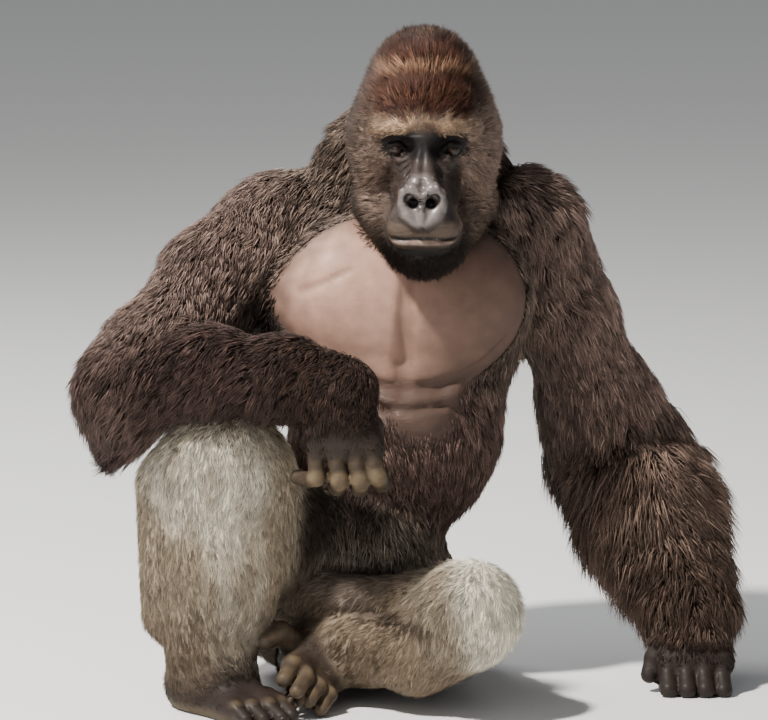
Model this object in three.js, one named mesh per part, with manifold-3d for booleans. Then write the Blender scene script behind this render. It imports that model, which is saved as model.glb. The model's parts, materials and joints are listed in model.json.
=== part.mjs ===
// Seated silverback gorilla, life size, millimetres, +Z up, facing -Y.
// Every part is a distance field built from bones (round cones) and lumps (ellipsoids).
// Neighbouring parts melt into each other and are parted by a flat cut where both are equally near.
import * as THREE from 'three';
import Module from 'manifold-3d';

const wasm = await Module();
wasm.setup();

const vec = (x, y, z) => new THREE.Vector3(x, y, z);
const between = (a, b, t, x = 0, y = 0, z = 0) => a.clone().lerp(b, t).add(vec(x, y, z));

// ---- driving dimensions: lengths between joints ----
const humerus = 410;
const forearmLength = 325;
const femur = 365;
const tibia = 272;
const eyeRadius = 12;
const eyeSpacing = 80;
const partingGap = 0.4;      // clearance between two touching parts
const blendRadius = 46;      // how widely flesh parts melt into each other
const faceBlend = 20;
const groundLevel = 0;
const frameOrigin = { x: -3, y: -71, z: 0 };   // under the middle of the whole animal

// facet sizes
const bodyFacet = 60;
const skullFacet = 34;
const faceFacet = 22;
const handFacet = 34;
const digitFacet = 18;
const earFacet = 16;

// ---- joints: a start point and the way each bone points ----
const along = (start, length, x, y, z) => start.clone().addScaledVector(vec(x, y, z).normalize(), length);

const shoulder = { right: vec(-214, 40, 678), left: vec(176, 10, 688) };
const elbow = {
  right: along(shoulder.right, humerus, -204, -290, -204),
  left: along(shoulder.left, humerus, 126, 140, -345),
};
const wrist = {
  right: along(elbow.right, forearmLength, 304, -82, 12),
  left: along(elbow.left, forearmLength, 108, -208, -222),
};
const hip = { right: vec(-172, 20, 118), left: vec(0, 20, 84) };
const knee = {
  right: along(hip.right, femur, -112, -256, 237),
  left: along(hip.left, femur, 80, -350, 72),
};
const ankle = {
  right: along(knee.right, tibia, -18, -22, -272),
  left: along(knee.left, tibia, -205, 149, -74),
};
const headCentre = vec(16, -100, 815);

// ---- distance fields ----
function bone(a, b, radiusA, radiusB) {
  const axis = b.clone().sub(a);
  const lengthSquared = Math.max(axis.lengthSq(), 1e-9);
  const reach = Math.max(radiusA, radiusB);
  const box = new THREE.Box3().setFromPoints([a, b]).expandByScalar(reach);
  const at = (x, y, z) => {
    const dx = x - a.x;
    const dy = y - a.y;
    const dz = z - a.z;
    const t = Math.min(1, Math.max(0, (dx * axis.x + dy * axis.y + dz * axis.z) / lengthSquared));
    const gap = Math.hypot(dx - t * axis.x, dy - t * axis.y, dz - t * axis.z);
    return gap - (radiusA + t * (radiusB - radiusA));
  };
  return { at, box };
}

function lump(centre, rx, ry, rz) {
  const box = new THREE.Box3().setFromCenterAndSize(centre, vec(2 * rx, 2 * ry, 2 * rz));
  const at = (x, y, z) => {
    const px = (x - centre.x) / rx;
    const py = (y - centre.y) / ry;
    const pz = (z - centre.z) / rz;
    const scaled = Math.hypot(px, py, pz);
    const slope = Math.hypot(px / rx, py / ry, pz / rz);
    return slope < 1e-9 ? -Math.min(rx, ry, rz) : scaled * (scaled - 1) / slope;
  };
  return { at, box };
}

const smoothMin = (a, b, k) => {
  const h = Math.max(k - Math.abs(a - b), 0) / k;
  return Math.min(a, b) - h * h * k / 4;
};

function melt(k, ...shapes) {
  const box = new THREE.Box3();
  shapes.forEach((shape) => box.union(shape.box));
  const at = (x, y, z) => shapes.reduce((sum, shape) => smoothMin(sum, shape.at(x, y, z), k), 1e4);
  return { at, box };
}

const chain = (k, points, radii) =>
  melt(k, ...points.slice(1).map((point, i) => bone(points[i], point, radii[i], radii[i + 1])));

// ---- faceting: one vertex in every cell that the surface crosses ----
const corners = [0, 1, 2, 3, 4, 5, 6, 7].map((i) => [i & 1, (i >> 1) & 1, i >> 2]);
const edges = [];
corners.forEach((p, i) => [1, 2, 4].forEach((bit) => !(i & bit) && edges.push([i, i | bit])));
const axisSteps = [[1, 0, 0], [0, 1, 0], [0, 0, 1]];

// the solid is where every one of the fields is negative
function facet(fields, box, size) {
  const low = box.min.clone().divideScalar(size).floor().subScalar(1);
  const high = box.max.clone().divideScalar(size).ceil().addScalar(1);
  const [nx, ny, nz] = high.clone().sub(low).addScalar(1).toArray();
  const index = (i, j, k) => i + nx * (j + ny * k);
  const place = (i, j, k) => [(low.x + i) * size, (low.y + j) * size, (low.z + k) * size];
  const edge = (x, y, z) => Math.max(
    box.min.x - x, x - box.max.x, box.min.y - y, y - box.max.y, box.min.z - z, z - box.max.z);
  const limits = [...fields, edge];
  const values = new Float64Array(nx * ny * nz);
  for (let k = 0; k < nz; k += 1) {
    for (let j = 0; j < ny; j += 1) {
      for (let i = 0; i < nx; i += 1) {
        const point = place(i, j, k);
        values[index(i, j, k)] = Math.max(...limits.map((field) => field(...point)));
      }
    }
  }
  const vertexOf = new Map();
  const points = [];
  for (let k = 0; k < nz - 1; k += 1) {
    for (let j = 0; j < ny - 1; j += 1) {
      for (let i = 0; i < nx - 1; i += 1) {
        const crossings = [];
        edges.forEach(([p, q]) => {
          const [a, b] = [corners[p], corners[q]];
          const va = values[index(i + a[0], j + a[1], k + a[2])];
          const vb = values[index(i + b[0], j + b[1], k + b[2])];
          if ((va < 0) === (vb < 0)) return;
          const t = va / (va - vb);
          crossings.push(place(...[i, j, k].map((cell, n) => cell + a[n] + t * (b[n] - a[n]))));
        });
        if (crossings.length) {
          vertexOf.set(index(i, j, k), points.length);
          points.push(settle(limits, crossings, size));
        }
      }
    }
  }
  const triangles = [];
  const distance = (a, b) => Math.hypot(...points[a].map((value, n) => value - points[b][n]));
  for (let k = 1; k < nz - 1; k += 1) {
    for (let j = 1; j < ny - 1; j += 1) {
      for (let i = 1; i < nx - 1; i += 1) {
        const here = values[index(i, j, k)] < 0;
        axisSteps.forEach((step, n) => {
          const there = values[index(i + step[0], j + step[1], k + step[2])] < 0;
          if (here === there) return;
          const u = axisSteps[(n + 1) % 3];
          const w = axisSteps[(n + 2) % 3];
          const around = [[1, 1], [0, 1], [0, 0], [1, 0]].map(([s, t]) => vertexOf.get(
            index(i - s * u[0] - t * w[0], j - s * u[1] - t * w[1], k - s * u[2] - t * w[2])));
          if (!here) around.reverse();
          const [a, b, c, d] = around;
          if (distance(a, c) < distance(b, d)) triangles.push(a, b, c, a, c, d);
          else triangles.push(a, b, d, b, c, d);
        });
      }
    }
  }
  return { points, triangles };
}

// a vertex starts in the middle of its cell's crossings and slides onto every field that makes them,
// so that it lands on the sharp edge where two of them meet
function settle(fields, crossings, size) {
  const meanOf = (n) => crossings.reduce((sum, crossing) => sum + crossing[n], 0) / crossings.length;
  const point = [0, 1, 2].map(meanOf);
  const strongest = (crossing) => {
    const values = fields.map((field) => field(...crossing));
    return values.indexOf(Math.max(...values));
  };
  const active = [...new Set(crossings.map(strongest))].sort((a, b) => a - b);
  for (let pass = 0; pass < (active.length > 1 ? 12 : 3); pass += 1) {
    active.forEach((id) => slide(fields[id], point, size));
  }
  return point;
}

function slope(field, [x, y, z], e = 0.5) {
  return [field(x + e, y, z) - field(x - e, y, z), field(x, y + e, z) - field(x, y - e, z),
    field(x, y, z + e) - field(x, y, z - e)].map((rise) => rise / (2 * e));
}

function slide(field, point, size) {
  const rise = slope(field, point);
  const steepness = Math.max(rise[0] ** 2 + rise[1] ** 2 + rise[2] ** 2, 0.2);
  const stride = Math.max(-size / 3, Math.min(size / 3, field(...point))) / steepness;
  for (let n = 0; n < 3; n += 1) point[n] -= rise[n] * stride;
}

function solidOf({ points, triangles }) {
  const mesh = new wasm.Mesh({
    numProp: 3,
    vertProperties: new Float32Array(points.flat()),
    triVerts: new Uint32Array(triangles),
  });
  return new wasm.Manifold(mesh);
}

function geometryOf(solid) {
  const { vertProperties, triVerts } = solid.getMesh();
  const geometry = new THREE.BufferGeometry();
  geometry.setAttribute('position', new THREE.BufferAttribute(new Float32Array(vertProperties), 3));
  geometry.setIndex(Array.from(triVerts));
  geometry.computeVertexNormals();
  return geometry;
}

// the same facets, moved outwards
function grown(solid, by) {
  const geometry = geometryOf(solid);
  const position = geometry.getAttribute('position').array;
  const normal = geometry.getAttribute('normal').array;
  const points = [];
  for (let i = 0; i < position.length; i += 3) {
    points.push([0, 1, 2].map((n) => position[i + n] + by * normal[i + n]));
  }
  return solidOf({ points, triangles: Array.from(geometry.index.array) });
}

function solidOfGeometry(geometry) {
  const position = geometry.getAttribute('position');
  const found = new Map();
  const points = [];
  const ids = [];
  for (let i = 0; i < position.count; i += 1) {
    const point = [position.getX(i), position.getY(i), position.getZ(i)];
    const key = point.map((value) => Math.round(value * 1000)).join(' ');
    if (!found.has(key)) found.set(key, points.push(point) - 1);
    ids.push(found.get(key));
  }
  const order = Array.from(geometry.index.array, (i) => ids[i]);
  const triangles = [];
  for (let t = 0; t < order.length; t += 3) {
    const [a, b, c] = order.slice(t, t + 3);
    if (a !== b && b !== c && c !== a) triangles.push(a, b, c);
  }
  return solidOf({ points, triangles });
}

// ---- the parts ----
const fleshParts = [];
const flesh = (name, shape, facetSize, colour, blends = [], roughness = 0.9) =>
  fleshParts.push({ name, shape, facetSize, colour, blends, roughness });

// a finger or toe: a tube through its joints, mitred at each and closed by a rounded tip
function digit(name, joints, radii) {
  const sides = 8;
  const way = (i) => joints[i + 1].clone().sub(joints[i]).normalize();
  const last = joints.length - 1;
  const stations = joints.map((joint, i) => {
    const into = way(Math.max(i - 1, 0));
    const outOf = way(Math.min(i, last - 1));
    return { joint, into, mitre: into.clone().add(outOf).normalize(), radius: radii[i] };
  });
  stations[0].joint = joints[0].clone().addScaledVector(way(0), -radii[0] / 2);
  const tipWay = way(last - 1);
  const tip = (share) => joints[last].clone().addScaledVector(tipWay, share * radii[last]);
  stations.push({ joint: tip(0.7), into: tipWay, mitre: tipWay, radius: 0.7 * radii[last] });

  const points = [];
  let side = vec(0.31, 0.83, 0.46);
  stations.forEach(({ joint, into, mitre, radius }) => {
    side = side.addScaledVector(into, -side.dot(into)).normalize();
    const other = vec(0, 0, 0).crossVectors(into, side);
    for (let n = 0; n < sides; n += 1) {
      const turn = (n / sides) * 2 * Math.PI;
      const spoke = side.clone().multiplyScalar(radius * Math.cos(turn));
      spoke.addScaledVector(other, radius * Math.sin(turn));
      spoke.addScaledVector(into, -spoke.dot(mitre) / into.dot(mitre));
      points.push(joint.clone().add(spoke).toArray());
    }
  });
  const base = points.push(stations[0].joint.toArray()) - 1;
  const end = points.push(tip(1).toArray()) - 1;
  const triangles = [];
  for (let n = 0; n < sides; n += 1) {
    const next = (n + 1) % sides;
    triangles.push(base, next, n);
    for (let ring = 0; ring < stations.length - 1; ring += 1) {
      const [low, high] = [ring * sides, (ring + 1) * sides];
      triangles.push(low + n, low + next, high + n, high + n, low + next, high + next);
    }
    const rim = (stations.length - 1) * sides;
    triangles.push(end, rim + n, rim + next);
  }
  flesh(name, chain(8, joints, radii), digitFacet, bareFinger, [], 0.7);
  fleshParts[fleshParts.length - 1].skin = { points, triangles };
}

const furBlack = 0x2a2422;
const furBrown = 0x3a3029;
const furGrey = 0x8a7f72;
const furCrown = 0x5a3526;
const bareSkin = 0x4b3e3c;
const bareChest = 0x7d6560;
const bareFinger = 0x6f6456;
const eyeColour = 0x1c120c;

// head, in its own frame: x to its left, y to its back, z up, from between the ears
// the muzzle is turned a little to the animal's right
const muzzleTurn = 0.06;
const turnStart = -110;
const inHead = (x, y, z) => headCentre.clone().add(vec(x + muzzleTurn * Math.min(y - turnStart, 0), y, z));
const bothSides = (make) => [make(-1), make(1)];

function addHead() {
  flesh('head', melt(28,
    lump(inHead(0, 18, 30), 105, 126, 96),
    bone(inHead(0, -18, 82), inHead(0, 60, 92), 72, 82),
    ...bothSides((side) => lump(inHead(side * 58, -8, -6), 56, 80, 84))),
  skullFacet, furCrown, ['neck', 'brow', 'muzzle', 'jaw'], 0.85);

  const browRidge = melt(20,
    lump(inHead(0, -76, 6), 80, 58, 56),
    lump(inHead(0, -84, 60), 84, 44, 34),
    bone(inHead(-50, -120, 44), inHead(50, -120, 44), 24, 24));
  flesh('brow', browRidge, faceFacet, bareSkin, ['head', 'muzzle'], 0.8);

  flesh('muzzle', melt(14,
    bone(inHead(0, -98, -54), inHead(0, -142, -84), 54, 48),
    bone(inHead(0, -136, 4), inHead(0, -166, -46), 13, 17),
    bone(inHead(-30, -154, -99), inHead(30, -154, -99), 25, 25),
    ...bothSides((side) => lump(inHead(side * 17, -176, -66), 19, 18, 32))),
  faceFacet, bareSkin, ['head', 'jaw', 'brow'], 0.6);

  flesh('jaw', melt(18,
    bone(inHead(-26, -148, -124), inHead(26, -148, -124), 22, 22),
    lump(inHead(0, -132, -150), 44, 40, 34),
    ...bothSides((side) => bone(inHead(side * 66, -14, -84), inHead(side * 24, -112, -138), 44, 36))),
  skullFacet, furBlack, ['head', 'neck', 'muzzle'], 0.8);

  bothSides((side) => flesh(side < 0 ? 'ear_right' : 'ear_left', melt(8,
    lump(inHead(side * 109, 36, 12), 11, 18, 26),
    lump(inHead(side * 109, 30, -12), 9, 11, 13)),
  earFacet, bareSkin, [], 0.7));

  flesh('neck', melt(40,
    bone(vec(0, 60, 735), inHead(0, 50, 20), 120, 92),
    lump(vec(-2, 66, 782), 140, 108, 96),
    bone(inHead(0, 62, 58), vec(0, 92, 800), 62, 92)),
  bodyFacet, furBrown, ['head', 'jaw', 'chest'], 0.9);
}

function addTrunk() {
  flesh('chest', melt(60,
    lump(vec(-14, 20, 560), 196, 176, 200),
    lump(vec(-10, 95, 650), 188, 122, 150),
    lump(vec(-98, -84, 590), 108, 84, 104),
    lump(vec(74, -84, 590), 104, 84, 104),
    lump(vec(-196, -58, 574), 62, 66, 62),
    ...bothSides((side) => lump(vec(side * 130 - 14, 84, 636), 88, 80, 118)),
    bone(vec(0, 40, 735), vec(-150, 52, 700), 76, 60),
    bone(vec(0, 40, 735), vec(140, 30, 706), 76, 60)),
  bodyFacet, bareChest, ['neck', 'abdomen', 'upper_arm_right', 'upper_arm_left'], 0.75);

  flesh('abdomen', melt(60,
    lump(vec(-18, -10, 390), 160, 162, 145),
    lump(vec(-40, 40, 330), 150, 140, 140)),
  bodyFacet, furBlack, ['chest', 'hips'], 0.9);

  flesh('hips', melt(60,
    lump(vec(-92, 30, 190), 130, 150, 130),
    lump(vec(-76, -62, 205), 108, 104, 105),
    lump(vec(-84, 92, 128), 146, 138, 140)),
  bodyFacet, furBlack, ['abdomen', 'thigh_right', 'thigh_left'], 0.9);
}

function addArms() {
  const [shoulderR, elbowR, wristR] = [shoulder.right, elbow.right, wrist.right];
  const [shoulderL, elbowL, wristL] = [shoulder.left, elbow.left, wrist.left];

  flesh('upper_arm_right', chain(40,
    [shoulderR, between(shoulderR, elbowR, 0.35, -6, 0, 4), between(shoulderR, elbowR, 0.8), elbowR],
    [84, 84, 82, 70]),
  bodyFacet, furBlack, ['chest', 'forearm_right']);
  // the forearm bows up between the joints, and its long hair hangs in a wedge under the elbow
  flesh('forearm_right', melt(40,
    chain(40,
      [elbowR, between(elbowR, wristR, 0.4, 0, 0, 28), between(elbowR, wristR, 0.78, 0, 0, 14), wristR],
      [68, 66, 66, 54]),
    chain(40, [elbowR, between(elbowR, elbowR, 0, -12, 14, -62), between(elbowR, elbowR, 0, -22, 20, -106)],
      [66, 48, 17])),
  bodyFacet, furBlack, ['upper_arm_right', 'hand_right']);

  flesh('upper_arm_left', chain(40,
    [shoulderL, between(shoulderL, elbowL, 0.4, -2), between(shoulderL, elbowL, 0.8), elbowL],
    [86, 78, 88, 96]),
  bodyFacet, furBlack, ['chest', 'forearm_left']);
  flesh('forearm_left', melt(50,
    chain(50, [elbowL, between(elbowL, wristL, 0.4, 6), between(elbowL, wristL, 0.95, 2)], [106, 108, 88]),
    bone(elbowL, between(elbowL, elbowL, 0, 96, 20, -30), 80, 52)),
  bodyFacet, furBlack, ['upper_arm_left', 'hand_left']);
}

function addLegs() {
  const outerCalf = [-56, 42, 0];
  const innerCalf = [30, 22, 0];
  const [hipR, kneeR, ankleR] = [hip.right, knee.right, ankle.right];
  const [hipL, kneeL, ankleL] = [hip.left, knee.left, ankle.left];
  flesh('thigh_right', chain(40, [hipR, between(hipR, kneeR, 0.5), kneeR], [112, 104, 84]),
    bodyFacet, furGrey, ['hips', 'shank_right']);
  flesh('shank_right', melt(44,
    chain(30, [kneeR, between(kneeR, ankleR, 0.5, 8), ankleR], [84, 84, 62]),
    bone(between(kneeR, ankleR, 0.12, ...outerCalf), between(kneeR, ankleR, 0.8, ...outerCalf), 74, 54),
    bone(between(kneeR, ankleR, 0.02, ...innerCalf), between(kneeR, ankleR, 0.74, ...innerCalf), 80, 66)),
  bodyFacet, furGrey, ['thigh_right', 'foot_right']);

  flesh('thigh_left', chain(40, [hipL, between(hipL, kneeL, 0.5, 0, 0, -12), kneeL], [92, 82, 74]),
    bodyFacet, furGrey, ['hips', 'shank_left']);
  // the folded leg: the shin in front and the underside of the thigh pressed against it
  flesh('shank_left', melt(8,
    chain(30,
      [kneeL, between(kneeL, ankleL, 0.35, 0, 0, -36), between(kneeL, ankleL, 0.7, 0, 0, -16), ankleL],
      [75, 66, 58, 50]),
    bone(vec(-140, -150, 146), vec(50, -262, 146), 48, 52)),
  bodyFacet, furGrey, ['thigh_left', 'foot_left']);
}

// a hand or foot has its own frame: forward to the digits, across to the thumb side, and out of the back
function frameAt(origin, forward, across) {
  const f = forward.clone().normalize();
  const a = across.clone().addScaledVector(f, -across.dot(f)).normalize();
  const up = vec(0, 0, 0).crossVectors(a, f);
  return (x, y, z) => origin.clone().addScaledVector(f, x).addScaledVector(a, y).addScaledVector(up, z);
}

function addFeet() {
  const footLength = { heel: 42, ball: 112, toe: 68 };
  const toes = [[0, 34, 12.5], [1, 9, 12], [2, -15, 11.5], [3, -38, 11]];
  const feet = {
    right: {
      at: frameAt(ankle.right, vec(0.627, -0.779, 0), vec(0.779, 0.627, 0)), up: -1, height: 77, curl: 4,
    },
    left: {
      at: frameAt(ankle.left, vec(0.05, -0.998, 0.03), vec(-0.75, 0, 0.66)), up: 1, height: 60, curl: 20,
    },
  };
  Object.entries(feet).forEach(([side, { at, up, height, curl }]) => {
    const place = (x, y, z) => at(x, y, up * z);
    const sole = -height;
    flesh(`foot_${side}`, melt(26,
      bone(place(0, 0, 0), place(40, 4, -26), 50, 44),
      bone(place(-footLength.heel, -2, sole + 22), place(0, 0, sole + 26), 38, 40),
      bone(place(-10, 8, sole + 28), place(footLength.ball, 18, sole + 12), 38, 26),
      bone(place(-10, -8, sole + 24), place(footLength.ball - 12, -26, sole + 10), 36, 24)),
    handFacet, bareSkin, [`shank_${side}`], 0.8);
    const big = side === 'right'
      ? [place(34, 22, sole + 20), place(72, 52, sole + 14), place(98, 70, sole + 4)]
      : [place(34, 22, sole + 32), vec(-196, -256, 115), vec(-219, -273, 106)];
    digit(`toe_${side}_1`, big, [22, 17, 15]);
    toes.forEach(([n, y, radius]) => {
      const start = footLength.ball - 14 - Math.abs(n - 0.6) * 5;
      const reach = footLength.toe - Math.abs(n - 1) * 7;
      digit(`toe_${side}_${n + 2}`,
        [place(start, y, sole + 16), place(start + reach * 0.55, y, sole + 15 + curl * 0.3),
          place(start + reach, y - 1, sole + 6 - curl * 0.4)], [radius, radius, radius - 1]);
    });
  });
}

function addHands() {
  const knuckles = {
    right: [vec(-65, -345, 411), vec(-91, -348, 408), vec(-117, -347, 408), vec(-143, -344, 411)],
    left: [vec(378, -126, 47), vec(405, -130, 48), vec(432, -130, 48), vec(459, -126, 46)],
  };
  // from each knuckle, the way to the next joint of the finger
  const curls = {
    right: [
      [vec(12, -6, -50), vec(6, 28, -14), vec(-3, 16, 12)],
      [vec(14, -8, -52), vec(-2, 30, -16), vec(-4, 16, 12)],
      [vec(10, -8, -52), vec(-4, 30, -14), vec(-3, 16, 12)],
      [vec(2, -6, -52), vec(-14, 24, -7), vec(-14, 14, 2)],
    ],
    left: [0, 1, 2, 3].map(() => [vec(2, -34, -37), vec(-1, 33, -1), vec(-1, 16, 12)]),
  };
  const thumbs = {
    right: [vec(-84, -312, 462), vec(-60, -304, 428), vec(-54, -310, 396)],
    left: [vec(382, -92, 78), vec(360, -112, 50), vec(352, -124, 26)],
  };
  const palmRadius = 27;
  Object.entries(knuckles).forEach(([side, row]) => {
    const root = wrist[side];
    const middle = between(row[1], row[2], 0.5);
    const metacarpals = row.map((knuckle) => bone(
      between(root, knuckle, 0.12), knuckle, palmRadius + 6, palmRadius - 6));
    flesh(`hand_${side}`, melt(16, bone(root, between(root, middle, 0.3), 46, 40), ...metacarpals),
      handFacet, bareSkin, [`forearm_${side}`], 0.8);
    digit(`finger_${side}_1`, thumbs[side], [19, 15, 13]);
    row.forEach((knuckle, n) => {
      const points = [knuckle];
      curls[side][n].forEach((step) => points.push(points[points.length - 1].clone().add(step)));
      const radius = n === 3 ? 12 : 13;
      digit(`finger_${side}_${n + 2}`, points, [radius, radius, radius - 0.5, radius - 1]);
    });
  });
}

addHead();
addTrunk();
addArms();
addLegs();
addFeet();
addHands();

// ---- assembly ----
const seamReach = 26;          // how far a part's skin may stand off its own shape
const digitReach = 2;
const roomMargin = 12;         // how much further the room behind a cut is cleared
const touchRange = 8;          // parts whose boxes are further apart than this share no cut
const nearBody = 6;            // a cut runs through points this near to both parts
const nearDigit = 2;
const skinTolerance = 1.0;      // facets flatter than this are joined
const seamTolerance = 0.2;
const crumbTolerance = 0.1;
const isDigit = (name) => /^(toe|finger|ear)/.test(name);
const isFace = (name) => /^(head|brow|muzzle|jaw)/.test(name);
const reachOf = (part) => (isDigit(part.name) ? digitReach : seamReach);
const blendOf = (a, b) => (isFace(a) && isFace(b) ? faceBlend : blendRadius);
const partNamed = new Map(fleshParts.map((part) => [part.name, part]));
const aboveGround = (x, y, z) => groundLevel - z;

// the flat cut between two parts: through the middle of the points that are equally near to both
function cutBetween(a, b) {
  const box = a.shape.box.clone().expandByScalar(touchRange);
  box.intersect(b.shape.box.clone().expandByScalar(touchRange));
  if (box.isEmpty()) return null;
  const step = Math.min(a.facetSize, b.facetSize) / 3;
  const centre = vec(0, 0, 0);
  const normal = vec(0, 0, 0);
  const nearest = isDigit(a.name) || isDigit(b.name) ? nearDigit : nearBody;
  let count = 0;
  for (let x = box.min.x; x <= box.max.x; x += step) {
    for (let y = box.min.y; y <= box.max.y; y += step) {
      for (let z = box.min.z; z <= box.max.z; z += step) {
        const da = a.shape.at(x, y, z);
        const db = b.shape.at(x, y, z);
        if (Math.abs(da - db) < step && Math.max(da, db) < nearest) {
          centre.add(vec(x, y, z));
          const parting = (...p) => a.shape.at(...p) - b.shape.at(...p);
          normal.add(vec(...slope(parting, [x, y, z], 2)).normalize());
          count += 1;
        }
      }
    }
  }
  if (!count) return null;
  centre.divideScalar(count);
  normal.normalize();
  return { normal, offset: centre.dot(normal) };
}

// a part's skin melts into its neighbours' shapes but stays near its own
function skinOf(part) {
  if (part.skin) return solidOf(part.skin).trimByPlane([0, 0, 1], groundLevel);
  const partners = part.blends.map((name) => (
    { shape: partNamed.get(name).shape, k: blendOf(part.name, name) }));
  const body = (x, y, z) => partners.reduce(
    (sum, { shape, k }) => smoothMin(sum, shape.at(x, y, z), k), part.shape.at(x, y, z));
  const near = (x, y, z) => part.shape.at(x, y, z) - reachOf(part);
  const box = part.shape.box.clone().expandByScalar(reachOf(part));
  return solidOf(facet([body, near, aboveGround], box, part.facetSize));
}

// the room a part takes up beyond a cut
function roomOf(part) {
  const reach = reachOf(part) + roomMargin;
  const room = (x, y, z) => part.shape.at(x, y, z) - reach;
  return solidOf(facet([room], part.shape.box.clone().expandByScalar(reach + 5), part.facetSize * 1.5));
}

const beyond = (part, normal, offset) => part.room.trimByPlane(normal.toArray(), offset);

fleshParts.forEach((part) => {
  part.solid = skinOf(part).simplify(skinTolerance);
  part.room = roomOf(part);
});
fleshParts.forEach((a, i) => fleshParts.slice(i + 1).forEach((b) => {
  const cut = cutBetween(a, b);
  if (!cut) return;
  const half = partingGap / 2;
  a.solid = a.solid.subtract(beyond(b, cut.normal, cut.offset - half));
  b.solid = b.solid.subtract(beyond(a, cut.normal.clone().negate(), -cut.offset - half));
}));

// the eyes sit in hollows under the brow
const eyeCentre = (side) => inHead(side * eyeSpacing / 2, -115, 8);
const socketOffset = vec(0, -15, 0);
const socketRadii = [25, 15, 15];
const ball = (radius) => new THREE.SphereGeometry(radius, 8, 6).rotateX(Math.PI / 2);
bothSides(eyeCentre).forEach((centre) => {
  const hollowAt = centre.clone().add(socketOffset);
  const socket = solidOfGeometry(ball(1).scale(...socketRadii).translate(...hollowAt.toArray()));
  const seat = solidOfGeometry(ball(eyeRadius + partingGap).translate(...centre.toArray()));
  ['head', 'brow', 'muzzle'].forEach((name) => {
    const part = partNamed.get(name);
    part.solid = part.solid.subtract(socket).subtract(seat);
  });
});

// only the largest piece of each part is kept, and any two that still touch are parted
function largest(solid, name) {
  const pieces = solid.decompose().sort((a, b) => b.volume() - a.volume());
  if (!pieces.length) throw new Error(`nothing left of ${name}`);
  return pieces[0];
}
fleshParts.forEach((part) => { part.solid = largest(part.solid, part.name).simplify(seamTolerance); });
const smallestTouch = 1e-4;    // cubic millimetres
fleshParts.forEach((a, i) => fleshParts.slice(i + 1).forEach((b) => {
  for (let gap = partingGap; a.solid.intersect(b.solid).volume() > smallestTouch; gap *= 2) {
    b.solid = largest(b.solid.subtract(grown(a.solid, gap)), b.name);
  }
}));

const gorilla = new THREE.Group();
function addNode(name, geometry, colour, roughness) {
  const material = new THREE.MeshStandardMaterial({ color: colour, roughness, metalness: 0 });
  const node = new THREE.Mesh(geometry.translate(-frameOrigin.x, -frameOrigin.y, -frameOrigin.z), material);
  node.name = name;
  gorilla.add(node);
}

fleshParts.forEach((part) => addNode(
  part.name, geometryOf(part.solid.simplify(crumbTolerance)), part.colour, part.roughness));
bothSides((side) => addNode(side < 0 ? 'eye_right' : 'eye_left',
  ball(eyeRadius).translate(...eyeCentre(side).toArray()), eyeColour, 0.15));

export default gorilla;
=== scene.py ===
import json
import math
import bmesh
import bpy
import numpy as np
from mathutils import Matrix, Vector, kdtree

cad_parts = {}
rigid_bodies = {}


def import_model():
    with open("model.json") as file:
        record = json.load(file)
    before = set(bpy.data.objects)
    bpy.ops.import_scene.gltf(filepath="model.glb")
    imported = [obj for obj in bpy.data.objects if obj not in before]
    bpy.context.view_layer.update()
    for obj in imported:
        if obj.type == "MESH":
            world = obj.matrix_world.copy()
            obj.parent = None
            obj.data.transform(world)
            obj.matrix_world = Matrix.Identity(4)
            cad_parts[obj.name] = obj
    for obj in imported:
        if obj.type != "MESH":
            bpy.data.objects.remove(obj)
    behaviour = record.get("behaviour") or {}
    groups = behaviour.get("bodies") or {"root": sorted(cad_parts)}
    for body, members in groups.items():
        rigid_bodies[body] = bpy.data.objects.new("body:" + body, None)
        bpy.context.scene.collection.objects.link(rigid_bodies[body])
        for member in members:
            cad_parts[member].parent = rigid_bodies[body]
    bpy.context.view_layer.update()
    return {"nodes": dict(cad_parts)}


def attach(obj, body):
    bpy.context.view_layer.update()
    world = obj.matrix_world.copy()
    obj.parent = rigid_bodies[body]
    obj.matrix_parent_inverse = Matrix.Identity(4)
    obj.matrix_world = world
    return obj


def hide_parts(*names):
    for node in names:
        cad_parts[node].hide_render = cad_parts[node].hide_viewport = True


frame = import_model()
rng = np.random.default_rng(11)

# The body is worked out in millimetres, in the layout of the CAD solids, and moved to the frame at the end.
frameOrigin = np.array([-3.0, -71.0, 0.0])
mm = 0.001


def toFrame(points):
    return (points - frameOrigin) * mm


def vec(x, y, z):
    return np.array([x, y, z], float)


def unit(v):
    return v / np.maximum(np.linalg.norm(v, axis=-1, keepdims=True), 1e-9)


def ease(low, high, value):
    t = np.clip((value - low) / (high - low), 0, 1)
    return t * t * (3 - 2 * t)


# shapes as distance fields, in millimetres
class Shape:
    def __init__(self, at, low, high):
        self.at, self.low, self.high = at, low, high

    def near(self, p, margin=80.0):
        gap = np.maximum(np.maximum(self.low - p, p - self.high), 0).max(axis=1)
        value = gap + margin
        close = gap < margin
        if close.any():
            value[close] = self.at(p[close])
        return value


def bone(a, b, radiusA, radiusB):
    axis = b - a
    lengthSquared = max(axis @ axis, 1e-9)
    reach = max(radiusA, radiusB)

    def at(p):
        t = np.clip((p - a) @ axis / lengthSquared, 0, 1)
        return np.linalg.norm(p - a - t[:, None] * axis, axis=1) - radiusA - t * (radiusB - radiusA)
    return Shape(at, np.minimum(a, b) - reach, np.maximum(a, b) + reach)


def lump(centre, rx, ry, rz):
    radii = vec(rx, ry, rz)

    def at(p):
        q = (p - centre) / radii
        scaled = np.linalg.norm(q, axis=1)
        slope = np.maximum(np.linalg.norm(q / radii, axis=1), 1e-9)
        return np.maximum(scaled * (scaled - 1) / slope, -radii.min())
    return Shape(at, centre - radii, centre + radii)


def smoothMin(a, b, k):
    h = np.maximum(k - np.abs(a - b), 0) / k
    return np.minimum(a, b) - h * h * k / 4


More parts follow.
